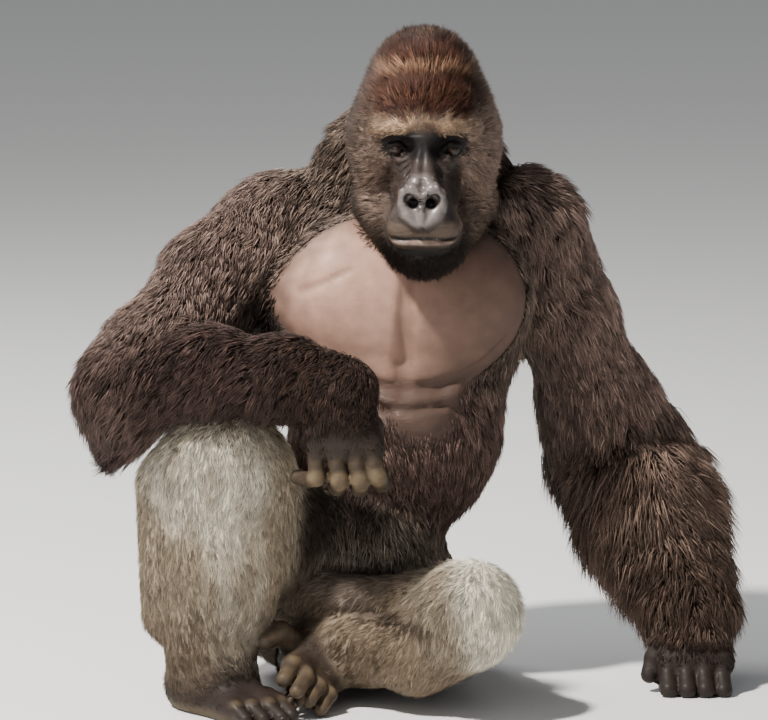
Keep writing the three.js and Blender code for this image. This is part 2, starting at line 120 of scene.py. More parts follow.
def melt(k, *shapes):
    def at(p):
        total = shapes[0].near(p)
        for shape in shapes[1:]:
            total = smoothMin(total, shape.near(p), k)
        return total
    return Shape(at, np.min([s.low for s in shapes], axis=0), np.max([s.high for s in shapes], axis=0))


def hollow(k, shape, *holes):
    def at(p):
        total = shape.at(p)
        for hole in holes:
            total = -smoothMin(-total, hole.near(p), k)
        return total
    return Shape(at, shape.low, shape.high)


def chain(k, points, radii):
    return melt(k, *[bone(a, b, ra, rb) for a, b, ra, rb in zip(points, points[1:], radii, radii[1:])])


def between(a, b, t, x=0, y=0, z=0):
    return a + (b - a) * t + vec(x, y, z)


def bothSides(make):
    return [make(-1), make(1)]


# where the joints are, as in the CAD solids
boneLength = {"humerus": 410, "forearm": 325, "femur": 365, "tibia": 272}


def along(start, name, x, y, z):
    return start + unit(vec(x, y, z)) * boneLength[name]


shoulder = {"right": vec(-214, 40, 678), "left": vec(176, 10, 688)}
elbow = {"right": along(shoulder["right"], "humerus", -204, -290, -204),
         "left": along(shoulder["left"], "humerus", 126, 140, -345)}
wrist = {"right": along(elbow["right"], "forearm", 304, -82, 12),
         "left": along(elbow["left"], "forearm", 108, -208, -222)}
hip = {"right": vec(-172, 20, 118), "left": vec(0, 20, 84)}
knee = {"right": along(hip["right"], "femur", -112, -256, 237),
        "left": along(hip["left"], "femur", 80, -350, 72)}
ankle = {"right": along(knee["right"], "tibia", -18, -22, -272),
         "left": along(knee["left"], "tibia", -205, 149, -74)}
headCentre = vec(16, -100, 815)
muzzleTurn = {"slope": 0.06, "from": -110}      # the muzzle is turned a little to the animal's right


def inHead(x, y, z):
    return headCentre + vec(x + muzzleTurn["slope"] * min(y - muzzleTurn["from"], 0), y, z)


def acrossFace(head):
    # how far to the side of the turned middle of the face
    return head[:, 0] - muzzleTurn["slope"] * np.minimum(head[:, 1] - muzzleTurn["from"], 0)


# the parts of the body, each a shape of its own
parts = {}
joins = []          # pairs of parts that melt into each other, and how widely


def addPart(name, shape, blend=46, *neighbours):
    parts[name] = shape
    joins.extend((name, other, blend) for other in neighbours)


# the face: x to the animal's left, y backwards, z up, from the middle of the skull
face = {"eyeSpacing": 80, "eyeRadius": 12, "eyeDepth": -115, "eyeHeight": 8, "mouthHeight": -117}
# the closed mouth's line: across, and up from its height
mouthShape = [(-49, 3), (-43, 0), (-26, -1), (-8, 1), (14, 0), (34, -2), (49, 0)]


def eyeCentre(side):
    return inHead(side * face["eyeSpacing"] / 2, face["eyeDepth"], face["eyeHeight"])


def mirrored(side, points):
    # the animal's left is side 1
    return [inHead(side * x, y, z) for x, y, z in points]


def addHead():
    addPart("head", melt(28,
                         lump(inHead(0, 18, 30), 105, 126, 96),
                         bone(inHead(0, -18, 82), inHead(0, 60, 92), 75, 84),
                         *bothSides(lambda side: lump(inHead(side * 58, -8, -6), 56, 80, 84))))
    browArches = bothSides(lambda side: chain(
        14, mirrored(side, [(6, -129, 43), (38, -132, 45), (72, -108, 38)]), [14, 15, 13]))
    addPart("brow", melt(24,
                         lump(inHead(0, -76, 6), 80, 56, 54),
                         lump(inHead(0, -92, 66), 76, 34, 34),
                         bone(inHead(-50, -114, 46), inHead(50, -114, 46), 24, 24),
                         *browArches), 30, "head")
    rims = bothSides(lambda side: chain(6, mirrored(side, [
        (4, -189, -49), (15, -187, -43), (28, -181, -50), (30, -178, -64), (21, -182, -83),
        (6, -185, -98)]), [6, 7, 7, 7, 6.5, 6]))
    bridge = bothSides(lambda side: chain(
        5, mirrored(side, [(6, -134, 14), (7, -146, -6), (9, -168, -34)]), [7, 7, 9]))
    addPart("muzzle", melt(12,
                           bone(inHead(0, -98, -54), inHead(0, -138, -84), 54, 47),
                           bone(inHead(0, -128, 4), inHead(0, -158, -46), 12, 16),
                           bone(inHead(-30, -153, -99), inHead(30, -153, -99), 25, 25),
                           melt(4, lump(inHead(0, -166, -62), 32, 20, 34),
                                bone(inHead(0, -188, -50), inHead(0, -186, -98), 4, 5), *rims),
                           melt(4, *bridge),
                           *bothSides(lambda side: lump(inHead(side * 38, -138, -104), 17, 22, 22))),
            20, "head", "brow")
    addPart("jaw", melt(18,
                        bone(inHead(-26, -144, -128), inHead(26, -144, -128), 21, 21),
                        lump(inHead(0, -130, -150), 44, 40, 34),
                        *bothSides(lambda side: bone(
                            inHead(side * 66, -14, -84), inHead(side * 24, -112, -138), 44, 36))),
            20, "head", "muzzle")
    for side, name in ((-1, "ear_right"), (1, "ear_left")):
        addPart(name, hollow(4, melt(8, lump(inHead(side * 106, 36, 12), 11, 18, 26),
                                     lump(inHead(side * 106, 30, -12), 9, 11, 13)),
                             lump(inHead(side * 116, 30, 10), 8, 9, 15)), 8, "head")
    addPart("neck", melt(40,
                         bone(vec(0, 60, 735), inHead(0, 50, 20), 120, 92),
                         lump(vec(-2, 66, 782), 140, 108, 96),
                         bone(inHead(0, 62, 58), vec(0, 92, 800), 62, 92)), 46, "head", "jaw")


def firstInside(spots, names, blend):
    # the first of these spots that lies in the parts, melted together
    bulk = parts[names[0]].near(spots)
    for name in names[1:]:
        bulk = smoothMin(bulk, parts[name].near(spots), blend)
    return spots[np.argmax(bulk < 0)]


def onFace(x, z, sink):
    # the point of the face's front at this width and height, and this far under its surface
    spots = np.array([inHead(x, y, z) for y in np.arange(-230, -60, 0.5)])
    return firstInside(spots, ("head", "brow", "muzzle", "jaw"), 20) + vec(0, sink, 0)


def onMouth(sink, *spots):
    # points of the face, with their height from the mouth's
    return [onFace(x, z + face["mouthHeight"], sink) for x, z in spots]


def onTrunk(sink, *spots):
    found = []
    for x, z in spots:
        line = np.array([vec(x, y, z) for y in np.arange(-260, -60, 0.5)])
        front = firstInside(line, ("chest", "abdomen", "upper_arm_right", "upper_arm_left"), 46)
        found.append(front + vec(0, sink, 0))
    return found


def faceCuts():
    # what is carved out of the face, each with how softly it blends
    sockets = bothSides(lambda side: lump(inHead(side * 41, -145, 11), 30, 29, 18))
    nostrils = bothSides(lambda side: melt(
        6, bone(inHead(side * 18, -188, -58), inHead(side * 8, -194, -73), 8, 6.5),
        bone(inHead(side * 14, -188, -64), inHead(side * 11, -164, -66), 7.5, 6)))
    mouth = chain(2, onMouth(-1.2, *mouthShape), [3.0, 2.8, 2.5, 2.4, 2.5, 2.7, 3.0])
    notch = chain(4, [onFace(0, z, -1.8) for z in (-32, -39, -45)], [3.0, 3.6, 3.2])
    philtrum = bone(inHead(0, -190, -102), inHead(0, -184, -112), 2, 2)
    return [(8, sockets[0]), (8, sockets[1]), (3, nostrils[0]), (3, nostrils[1]),
            (5, notch), (5, philtrum), (3, mouth)]


def faceAdds():
    # what is laid onto the face
    def lids(side):
        upper = chain(3, mirrored(side, [(56, -108, 5), (49, -120, 14), (38, -126, 16), (26, -121, 8)]),
                      [3.5, 4.2, 4.2, 3.5])
        lower = chain(3, mirrored(side, [(56, -108, 5), (47, -122, 0), (37, -125, -3), (25, -123, 3)]),
                      [3.5, 3.8, 3.8, 3.5])
        return [(4, upper), (4, lower)]

    def folds(side):
        # soft folds fan out and down from the inner corner of the eye
        rows = [[(25, -5), (38, -12), (54, -11)], [(21, -10), (34, -22), (50, -26)],
                [(18, -16), (28, -31), (42, -40)], [(16, -23), (22, -40), (31, -55)]]
        return [(2.5, chain(3, [onFace(side * x, z, 0) for x, z in row], [1.6, 3.0, 1.8]))
                for row in rows]
    lowerLip = chain(5, onMouth(2.4, (-42, -5), (-26, -7), (-2, -7), (24, -8), (42, -6)),
                     [3.4, 4.2, 4.6, 4.6, 3.5])
    return [(3, lowerLip)] + lids(-1) + lids(1) + folds(-1) + folds(1)


def addTrunk():
    addPart("chest", melt(60,
                          lump(vec(-14, 20, 560), 196, 176, 200),
                          lump(vec(-10, 95, 650), 188, 122, 150),
                          lump(vec(-98, -84, 590), 108, 84, 104),
                          lump(vec(74, -84, 590), 104, 84, 104),
                          lump(vec(-196, -58, 574), 62, 66, 62),
                          *bothSides(lambda side: lump(vec(side * 130 - 14, 84, 636), 88, 80, 118)),
                          bone(vec(0, 40, 735), vec(-150, 52, 700), 76, 60),
                          bone(vec(0, 40, 735), vec(140, 30, 706), 76, 60)), 46, "neck")
    addPart("abdomen", melt(60,
                            lump(vec(-18, -10, 390), 160, 162, 145),
                            lump(vec(-40, 40, 330), 150, 140, 140)), 46, "chest")
    addPart("hips", melt(60,
                         lump(vec(-92, 30, 190), 130, 150, 130),
                         lump(vec(-76, -62, 205), 108, 104, 105),
                         lump(vec(-84, 92, 128), 146, 138, 140)), 46, "abdomen")


def addArms():
    shoulderR, elbowR, wristR = shoulder["right"], elbow["right"], wrist["right"]
    shoulderL, elbowL, wristL = shoulder["left"], elbow["left"], wrist["left"]
    addPart("upper_arm_right", chain(40, [
        shoulderR, between(shoulderR, elbowR, 0.35, -6, 0, 4), between(shoulderR, elbowR, 0.8), elbowR],
        [84, 84, 82, 70]), 46, "chest")
    # the forearm bows up between the joints, and its long hair hangs in a wedge under the elbow
    addPart("forearm_right", melt(
        40,
        chain(40, [elbowR, between(elbowR, wristR, 0.4, 0, 0, 28),
                   between(elbowR, wristR, 0.78, 0, 0, 14), wristR], [68, 66, 66, 54]),
        chain(40, [elbowR, elbowR + vec(-12, 14, -62), elbowR + vec(-22, 20, -106)], [66, 48, 17])),
        46, "upper_arm_right")
    addPart("upper_arm_left", chain(40, [
        shoulderL, between(shoulderL, elbowL, 0.4, -2), between(shoulderL, elbowL, 0.8), elbowL],
        [86, 78, 88, 96]), 46, "chest")
    addPart("forearm_left", melt(50, chain(50, [
        elbowL, between(elbowL, wristL, 0.4, 6), between(elbowL, wristL, 0.95, 2)],
        [106, 108, 88]), bone(elbowL, elbowL + vec(96, 20, -30), 80, 52)), 46, "upper_arm_left")


def addLegs():
    outerCalf, innerCalf = (-56, 42, 0), (30, 22, 0)
    hipR, kneeR, ankleR = hip["right"], knee["right"], ankle["right"]
    hipL, kneeL, ankleL = hip["left"], knee["left"], ankle["left"]
    addPart("thigh_right", chain(40, [hipR, between(hipR, kneeR, 0.5), kneeR], [112, 104, 84]),
            46, "hips")
    addPart("shank_right", melt(
        44,
        chain(30, [kneeR, between(kneeR, ankleR, 0.5, 8), ankleR], [84, 84, 62]),
        bone(between(kneeR, ankleR, 0.12, *outerCalf),
             between(kneeR, ankleR, 0.8, *outerCalf), 74, 54),
        bone(between(kneeR, ankleR, 0.02, *innerCalf),
             between(kneeR, ankleR, 0.74, *innerCalf), 80, 66)),
        46, "thigh_right")
    addPart("thigh_left", chain(40, [hipL, between(hipL, kneeL, 0.5, 0, 0, -12), kneeL], [92, 82, 74]),
            46, "hips")
    # the folded leg: the shin in front and the underside of the thigh pressed against it
    addPart("shank_left", melt(
        8,
        chain(30, [kneeL, between(kneeL, ankleL, 0.35, 0, 0, -36),
                   between(kneeL, ankleL, 0.7, 0, 0, -16), ankleL], [75, 66, 58, 50]),
        bone(vec(-140, -150, 146), vec(50, -262, 146), 48, 52)), 46, "thigh_left")


nails = []          # middle, way along the digit, way out of its back, half width
knuckleOf = {}      # where each digit leaves the hand or foot
padOf = {}          # the joint of each digit that is pale, and how far the pale skin reaches
# all in radii of the digit
digit = {"fingerPad": 1.35, "toePad": 1.0, "padOut": 0.3,
         "nailAhead": 0.25, "nailOut": 0.72, "nailHalf": 0.72}


def addDigit(name, root, joints, radii, back):
    # back is the way out of the digit's back, where its nail sits
    joints = [np.asarray(joint, float) for joint in joints]
    knuckleOf[name] = joints[0]
    if not name.endswith("_1"):
        size = digit["fingerPad"] if name.startswith("finger") else digit["toePad"]
        padOf[name] = (joints[1] + back * radii[1] * digit["padOut"], radii[1] * size)
    addPart(name, chain(5, joints, radii), 9, root)
    way = unit(joints[-1] - joints[-2])
    out = unit(back - way * (back @ way))
    middle = joints[-1] + way * radii[-1] * digit["nailAhead"] + out * radii[-1] * digit["nailOut"]
    nails.append((middle, way, out, radii[-1] * digit["nailHalf"]))


def addFeet():
    # a foot has its own frame: forward to the toes, across to the big toe, and out of its back
    foot = {"heel": 42, "ball": 112, "toe": 68}
    toes = [(0, 34, 12.5), (1, 9, 12), (2, -15, 11.5), (3, -38, 11)]
    sides = {"right": (vec(0.627, -0.779, 0), vec(0.779, 0.627, 0), 1, 77, 4),
             "left": (vec(0.05, -0.998, 0.03), vec(-0.75, 0, 0.66), -1, 60, 20)}
    for side, (forward, across, flip, height, curl) in sides.items():
        forward = unit(forward)
        across = unit(across - forward * (across @ forward))
        back = np.cross(across, forward) * -flip

        def place(x, y, z, origin=ankle[side], forward=forward, across=across, back=back):
            return origin + forward * x + across * y + back * z
        sole = -height
        addPart(f"foot_{side}", melt(
            26,
            bone(place(0, 0, 0), place(40, 4, -26), 50, 44),
            bone(place(-foot["heel"], -2, sole + 22), place(0, 0, sole + 26), 38, 40),
            bone(place(-10, 8, sole + 28), place(foot["ball"], 18, sole + 12), 38, 26),
            bone(place(-10, -8, sole + 24), place(foot["ball"] - 12, -26, sole + 10), 36, 24)),
            40, f"shank_{side}")
        big = [place(34, 22, sole + 20), place(72, 52, sole + 14), place(98, 70, sole + 4)]
        if side == "left":
            big = [place(34, 22, sole + 32), vec(-196, -256, 115), vec(-219, -273, 106)]
        addDigit(f"toe_{side}_1", f"foot_{side}", big, [22, 17, 15], back)
        for n, y, radius in toes:
            start = foot["ball"] - 14 - abs(n - 0.6) * 5
            reach = foot["toe"] - abs(n - 1) * 7
            addDigit(f"toe_{side}_{n + 2}", f"foot_{side}", [
                place(start, y, sole + 16), place(start + reach * 0.55, y, sole + 15 + curl * 0.3),
                place(start + reach, y - 1, sole + 6 - curl * 0.4)], [radius, radius, radius - 1], back)


def addHands():
    knuckles = {"right": [(-65, -345, 411), (-91, -348, 408), (-117, -347, 408), (-143, -344, 411)],
                "left": [(378, -126, 47), (405, -130, 48), (432, -130, 48), (459, -126, 46)]}
    # the steps from joint to joint of each curled finger
    curls = {"right": [[(12, -6, -50), (6, 28, -14), (-3, 16, 12)],
                       [(14, -8, -52), (-2, 30, -16), (-4, 16, 12)],
                       [(10, -8, -52), (-4, 30, -14), (-3, 16, 12)],
                       [(2, -6, -52), (-14, 24, -7), (-14, 14, 2)]],
             "left": [[(2, -34, -37), (-1, 33, -1), (-1, 16, 12)]] * 4}
    thumbs = {"right": [(-84, -312, 462), (-60, -304, 428), (-54, -310, 396)],
              "left": [(382, -92, 78), (360, -112, 50), (352, -124, 26)]}
    backOf = {"right": vec(0, -1, -0.6), "left": vec(0, -0.6, -1)}
    palmRadius = 27
    for side, row in knuckles.items():
        root = wrist[side]
        row = [np.array(knuckle, float) for knuckle in row]
        metacarpals = [bone(between(root, knuckle, 0.12), knuckle, palmRadius + 6, palmRadius - 6)
                       for knuckle in row]
        addPart(f"hand_{side}", melt(16, bone(root, between(root, (row[1] + row[2]) / 2, 0.3), 46, 40),
                                     *metacarpals), 40, f"forearm_{side}")
        addDigit(f"finger_{side}_1", f"hand_{side}", thumbs[side], [19, 15, 13], vec(0.6, 0, 0.4))
        for n, knuckle in enumerate(row):
            joints = [knuckle]
            for step in curls[side][n]:
                joints.append(joints[-1] + np.array(step, float))
            radius = 12 if n == 3 else 13
            addDigit(f"finger_{side}_{n + 2}", f"hand_{side}", joints,
                     [radius, radius, radius - 0.5, radius - 1], backOf[side])


addHead()
addTrunk()
addArms()
addLegs()
addFeet()
addHands()
partNames = list(parts)
partIndex = {name: i for i, name in enumerate(partNames)}
faceCarves, additions = faceCuts(), faceAdds()
mouthLine = faceCarves[-1]
# the groove between the breast muscles, the folds under them and across the belly, and one to the armpit
chestCarves = [
    (14, chain(6, onTrunk(-2, (-12, 628), (-13, 560), (-15, 500), (-15, 462)), [5, 9, 11, 9])),
    (9, chain(8, onTrunk(-3, (-156, 524), (-112, 486), (-60, 464), (-14, 460), (40, 462), (96, 486),
                         (144, 536)), [5, 8, 10, 10, 10, 8, 5])),
    (8, chain(6, onTrunk(-2, (-90, 436), (-10, 430), (70, 436)), [4, 6, 4])),
    (9, chain(4, onTrunk(-2, (-92, 640), (-128, 622), (-164, 606)), [1, 2.5, 4])),
]
print("parts of the body:", len(parts))

# the coat: depth is how far its tips stand off the skin, spacing lies between tufts, both in millimetres,
# lift is the angle that tufts rise at, and long hair grows in bent locks
coatColumns = ("depth", "length", "spacing", "width", "lift", "long")
coat = {
    "head": (8, 24, 1.92, 1.47, 0.40, False),
    "brow": (3, 9, 1.72, 1.04, 0.45, False),
    "muzzle": (4, 12, 1.72, 1.04, 0.4, False),
    "jaw": (6, 19, 1.82, 1.3, 0.4, False),
    "ear": (0, 0, 0, 1, 0.4, False),
    "neck": (18, 42, 2.91, 2.05, 0.45, True),
    "chest": (18, 40, 3.31, 2.31, 0.4, True),
    "abdomen": (13, 28, 3.21, 1.55, 0.34, True),
    "hips": (12, 36, 3.41, 2.14, 0.38, True),
    "upper_arm": (14, 38, 2.91, 1.96, 0.34, True),
    "forearm_right": (16, 35, 2.8, 1.87, 0.36, True),
    "forearm_left": (26, 66, 3.31, 2.23, 0.46, True),
    "thigh": (9, 25, 2.61, 1.7, 0.36, False),
    "shank": (8, 19, 2.51, 1.6, 0.3, False),
    "hand": (3, 20, 2.41, 1.52, 0.28, True),
    "foot": (3, 18, 2.51, 1.52, 0.3, False),
    "finger": (0, 6, 2.8, 1.07, 0.2, True),
    "toe": (0, 8, 2.41, 1.07, 0.25, False),
}


def kindOf(name, table):
    # the row of a table for a part: its own, or its kind's without the side and number
    words = name.split("_")
    while "_".join(words) not in table:
        words.pop()
    return table["_".join(words)]


def coatOf(name):
    return dict(zip(coatColumns, kindOf(name, coat)))


def coatTable(key):
    return np.array([float(coatOf(name)[key]) for name in partNames])


def valuesAt(p):
    return np.stack([shape.near(p) for shape in parts.values()])


def sharesOf(values, softness=10.0):
    # how much of each part a point belongs to
    weight = np.exp(-(values - values.min(axis=0)) / softness)
    return weight / weight.sum(axis=0)


bareChest = lump(vec(-16, -150, 590), 205, 130, 165)
bareBelly = lump(vec(24, -190, 440), 70, 70, 60)
bareFace = {"height": [-138, -133, -122, -102, -85, -66, -42, -20, 0, 14, 26, 34],
            "halfWidth": [0, 34, 50, 55, 48, 39, 33, 40, 52, 60, 56, 20], "behind": -80}


def partsNamed(*starts):
    return [i for i, name in enumerate(partNames) if name.startswith(starts)]


def faceMask(p):
    # 1 on the bare skin round the eyes, nose and mouth
    head = p - headCentre
    x = np.abs(acrossFace(head))
    width = np.interp(head[:, 2], bareFace["height"], bareFace["halfWidth"])
    return ease(5, -9, x - width) * ease(bareFace["behind"], bareFace["behind"] - 12, head[:, 1]) * (
        ease(-136, -130, head[:, 2]) * ease(33, 27, head[:, 2]))


def digitMask(p, shares):
    # 1 on the bare ends of the fingers and toes
    ends = np.zeros(len(p))
    for name, knuckle in knuckleOf.items():
        bareFrom = 2 if name.startswith("finger") else 10
        ends += shares[partIndex[name]] * ease(bareFrom, bareFrom + 14, np.linalg.norm(p - knuckle, axis=1))
    return np.clip(ends, 0, 1)


def padsAt(p, shares):
    # 1 on the pale middle joints of the fingers, the tips and the undersides of the toes
    pads = np.zeros(len(p))
    for name, (joint, size) in padOf.items():
        pads += shares[partIndex[name]] * ease(size * 1.25, size * 0.7, np.linalg.norm(p - joint, axis=1))
    return np.clip(pads, 0, 1) * 0.9


def bareness(p, shares):
    trunk = shares[partsNamed("chest", "abdomen")].sum(axis=0)
    front = ease(-30, -90, p[:, 1]) * ease(0.25, 0.75, trunk)
    chest = np.clip(ease(14, -30, bareChest.at(p)) + ease(22, -26, bareBelly.at(p)), 0, 1) * front
    return np.clip(chest + faceMask(p) + digitMask(p, shares) + shares[partsNamed("ear")].sum(axis=0), 0, 1)


def coatDepth(values, p):
    shares = sharesOf(values)
    onGround = 0.12 + 0.88 * ease(2, 45, p[:, 2])
    return (coatTable("depth") @ shares) * onGround * (1 - bareness(p, shares))


def bodyField(p):
    values = valuesAt(p)
    total = values.min(axis=0)
    for a, b, k in joins:
        total = np.minimum(total, smoothMin(values[partIndex[a]], values[partIndex[b]], k))
    for k, cut in faceCarves[:-1] + chestCarves:
        total = -smoothMin(-total, cut.near(p, 40), k)
    for k, fold in additions:
        total = smoothMin(total, fold.near(p, 40), k)
    total = -smoothMin(-total, mouthLine[1].near(p, 40), mouthLine[0])
    return np.maximum(total + coatDepth(values, p), -p[:, 2])


def inChunks(function, p, size=60000):
    return np.concatenate([function(p[i:i + size]) for i in range(0, len(p), size)])


# meshing the field: one vertex in every cell that the surface crosses
def surfaceNet(field, low, step):
    inside = field < 0
    shape = np.array(field.shape)
    offsets = np.array([[i & 1, (i >> 1) & 1, i >> 2] for i in range(8)])

    def corner(grid, o):
        return grid[o[0]:shape[0] - 1 + o[0], o[1]:shape[1] - 1 + o[1], o[2]:shape[2] - 1 + o[2]]
    count = sum(corner(inside, o).astype(int) for o in offsets)
    cells = np.argwhere((count > 0) & (count < 8))
    ids = np.full(tuple(shape - 1), -1)
    ids[tuple(cells.T)] = np.arange(len(cells))
    total, crossings = np.zeros((len(cells), 3)), np.zeros(len(cells))
    for p in offsets:
        for axis in range(3):
            if p[axis]:
                continue
            q = p.copy()
            q[axis] = 1
            a, b = field[tuple((cells + p).T)], field[tuple((cells + q).T)]
            crossed = (a < 0) != (b < 0)
            t = np.where(crossed, a / np.where(crossed, a - b, 1), 0)
            total += crossed[:, None] * (p + t[:, None] * (q - p))
            crossings += crossed
    points = low + step * (cells + total / crossings[:, None])
    quads = []
    for axis in range(3):
        u, w = np.eye(3, dtype=int)[[(axis + 1) % 3, (axis + 2) % 3]]
        span = [slice(1, n - 1) for n in shape]
        ahead = [slice(2, n) if i == axis else s for i, (n, s) in enumerate(zip(shape, span))]
        here, there = inside[tuple(span)], inside[tuple(ahead)]
        for outward in (True, False):
            g = np.argwhere((here == outward) & (there != outward)) + 1
            ring = [ids[tuple((g - s * u - t * w).T)] for s, t in ((1, 1), (0, 1), (0, 0), (1, 0))]
            quads.append(np.stack(ring if outward else ring[::-1], axis=1))
    return points, np.concatenate(quads)


def settle(p, longest=6.0, e=0.4):
    # moves points along the field's slope onto the surface
    here = inChunks(bodyField, p)
    rise = np.stack([inChunks(bodyField, p + e * axis) - inChunks(bodyField, p - e * axis)
                     for axis in np.eye(3)], axis=1) / (2 * e)
    steep = np.maximum((rise ** 2).sum(axis=1), 0.25)
    move = -rise * (here / steep)[:, None]
    length = np.linalg.norm(move, axis=1, keepdims=True)
    return p + move * np.minimum(1, longest / np.maximum(length, 1e-9))


skin = {"cell": 11.0, "margin": 24, "sink": 1.5}
low = np.min([shape.low for shape in parts.values()], axis=0) - skin["margin"]
high = np.max([shape.high for shape in parts.values()], axis=0) + skin["margin"]
low[2] = -2.6 * skin["cell"]
counts = np.ceil((high - low) / skin["cell"]).astype(int)
grid = np.stack(np.meshgrid(*[low[i] + skin["cell"] * np.arange(counts[i]) for i in range(3)],
                            indexing="ij"), axis=-1).reshape(-1, 3)
points, quads = surfaceNet(inChunks(bodyField, grid).reshape(counts), low, skin["cell"])
print("first net:", len(points), "points")


# the face and what lies round it: half width, front, bottom and top, from the middle of the skull
faceBoxes = [(62, -100, -130, 30), (84, -84, -160, 64)]


def finenessAt(p):
    # how many times a face is split in four: most round the eyes, nose and mouth
    head = p - headCentre
    boxes = [(np.abs(head[:, 0]) < half) & (head[:, 1] < front) & (head[:, 2] > bottom) & (head[:, 2] < top)
             for half, front, bottom, top in faceBoxes]
    values = valuesAt(p)
    closest = values.min(axis=0)
    nearHand = values[partsNamed("toe", "finger", "hand", "foot", "ear")].min(axis=0) < closest + 4
    nearDigit = values[partsNamed("toe", "finger", "ear")].min(axis=0) < closest + 1
    onChest = (bareness(p, sharesOf(values)) > 0.5) & (p[:, 1] < -60)
    return np.maximum.reduce([boxes[0] * 3, boxes[1] * 2, nearHand * 1, nearDigit * 2, onChest * 1])


def refine(points, quads):
    mesh = bmesh.new()
    verts = [mesh.verts.new(p) for p in points]
    for quad in quads:
        mesh.faces.new([verts[i] for i in quad])
    for level in (1, 2, 3):
        middles = np.array([face.calc_center_median() for face in mesh.faces])
        chosen = inChunks(finenessAt, middles) >= level
        picked = {edge for face, take in zip(mesh.faces, chosen) if take for edge in face.edges}
        bmesh.ops.subdivide_edges(mesh, edges=list(picked), cuts=1, use_grid_fill=True)
        touched = list({v for edge in picked if edge.is_valid for v in edge.verts})
        for v, p in zip(touched, settle(np.array([v.co for v in touched]))):
            v.co = p
    bmesh.ops.triangulate(mesh, faces=mesh.faces[:])
    mesh.verts.ensure_lookup_table()
    mesh.verts.index_update()
    points = np.array([v.co for v in mesh.verts])
    triangles = np.array([[v.index for v in face.verts] for face in mesh.faces])
    mesh.free()
    return points, triangles


points, triangles = refine(settle(points), quads)
points = settle(points, longest=2.0)
points[:, 2] = np.maximum(points[:, 2], 0)
corners = points[triangles]
faceNormals = np.cross(corners[:, 1] - corners[:, 0], corners[:, 2] - corners[:, 0])
faceAreas = np.linalg.norm(faceNormals, axis=1) / 2
normals = np.zeros_like(points)
for i in range(3):
    np.add.at(normals, triangles[:, i], faceNormals)
normals = unit(normals)
print("skin:", len(triangles), "triangles")


# markings, shared by the skin and the coat
def tone(r, g, b):
    # a colour as seen, 0 to 255, to the linear one that materials use
    c = np.array([r, g, b]) / 255
    return np.where(c < 0.04045, c / 12.92, ((c + 0.055) / 1.055) ** 2.4)


# each kind of hair, as seen, 0 to 255: its tips and its roots
hairTones = {
    "head": ((104, 84, 72), (40, 31, 26)), "brow": ((200, 170, 140), (106, 84, 66)),
    "muzzle": ((128, 108, 92), (58, 46, 40)), "jaw": ((84, 70, 58), (28, 21, 18)),
    "ear": ((60, 48, 44), (44, 35, 32)), "neck": ((112, 96, 84), (38, 30, 26)),
    "chest": ((118, 102, 92), (42, 34, 30)), "abdomen": ((122, 99, 91), (30, 22, 19)),
    "hips": ((146, 134, 120), (66, 56, 47)), "upper_arm": ((126, 106, 97), (38, 28, 25)),
    "forearm_right": ((70, 54, 49), (24, 17, 16)), "forearm_left": ((112, 93, 82), (26, 19, 16)),
    "thigh": ((196, 184, 164), (118, 104, 86)), "shank": ((182, 166, 144), (98, 84, 68)),
    "hand": ((38, 28, 22), (17, 12, 9)), "foot": ((66, 53, 44), (30, 23, 19)),
    "finger": ((36, 27, 22), (18, 13, 10)), "toe": ((66, 54, 46), (38, 31, 26)),
    # painted shade: the left shank's hair is darker than the right's, for the shade it lies in
    "shank_left": ((158, 140, 118), (80, 67, 54)),
}
skinTones = {
    "chest": tone(177, 139, 121), "belly": tone(86, 66, 56), "edge": tone(78, 60, 52),
    "face": tone(48, 38, 34), "cheek": tone(40, 31, 28), "nose": tone(104, 95, 92),
    "noseTopSheen": tone(108, 98, 95), "lips": tone(78, 65, 54), "lipLine": tone(152, 127, 115),
    "palm": tone(34, 25, 21), "pad": tone(104, 88, 66), "lid": tone(62, 51, 47),
    "socket": tone(16, 11, 9), "dark": tone(18, 12, 10),
}


def toneTable(end):
    return np.array([tone(*kindOf(name, hairTones)[end]) for name in partNames])


tipTable, rootTable = toneTable(0), toneTable(1)


def ripple(p, size, seed=0.0):
    # a smooth field between -1 and 1 whose swells are about this far apart
    q = p * (2 * math.pi / size)
    return (np.sin(q[:, 0] + 1.7 * np.sin(q[:, 1] * 0.8 + seed) + seed)
            + np.sin(q[:, 1] * 1.1 + 1.5 * np.sin(q[:, 2] * 0.9 + seed * 2) + 2.1)
            + np.sin(q[:, 2] * 0.95 + 1.6 * np.sin(q[:, 0] * 0.85 - seed) + 4.2)) / 3


def within(p, centre, rx, ry, rz, soft=0.5):
    # 1 inside an ellipsoid, fading to 0 outside
    return ease(1 + soft, 1 - soft * 0.3, np.linalg.norm((p - centre) / vec(rx, ry, rz), axis=1))


def blendTo(base, other, amount):
    return base + (other - base) * amount[:, None]


# the silver's near-white tips are partly a painted highlight on the knee tops
silverAndHighlightHair = (248, 243, 226), (176, 165, 146)
saddleHair = (150, 144, 132), (64, 56, 48)
darkHair = (58, 45, 40), (20, 14, 12)


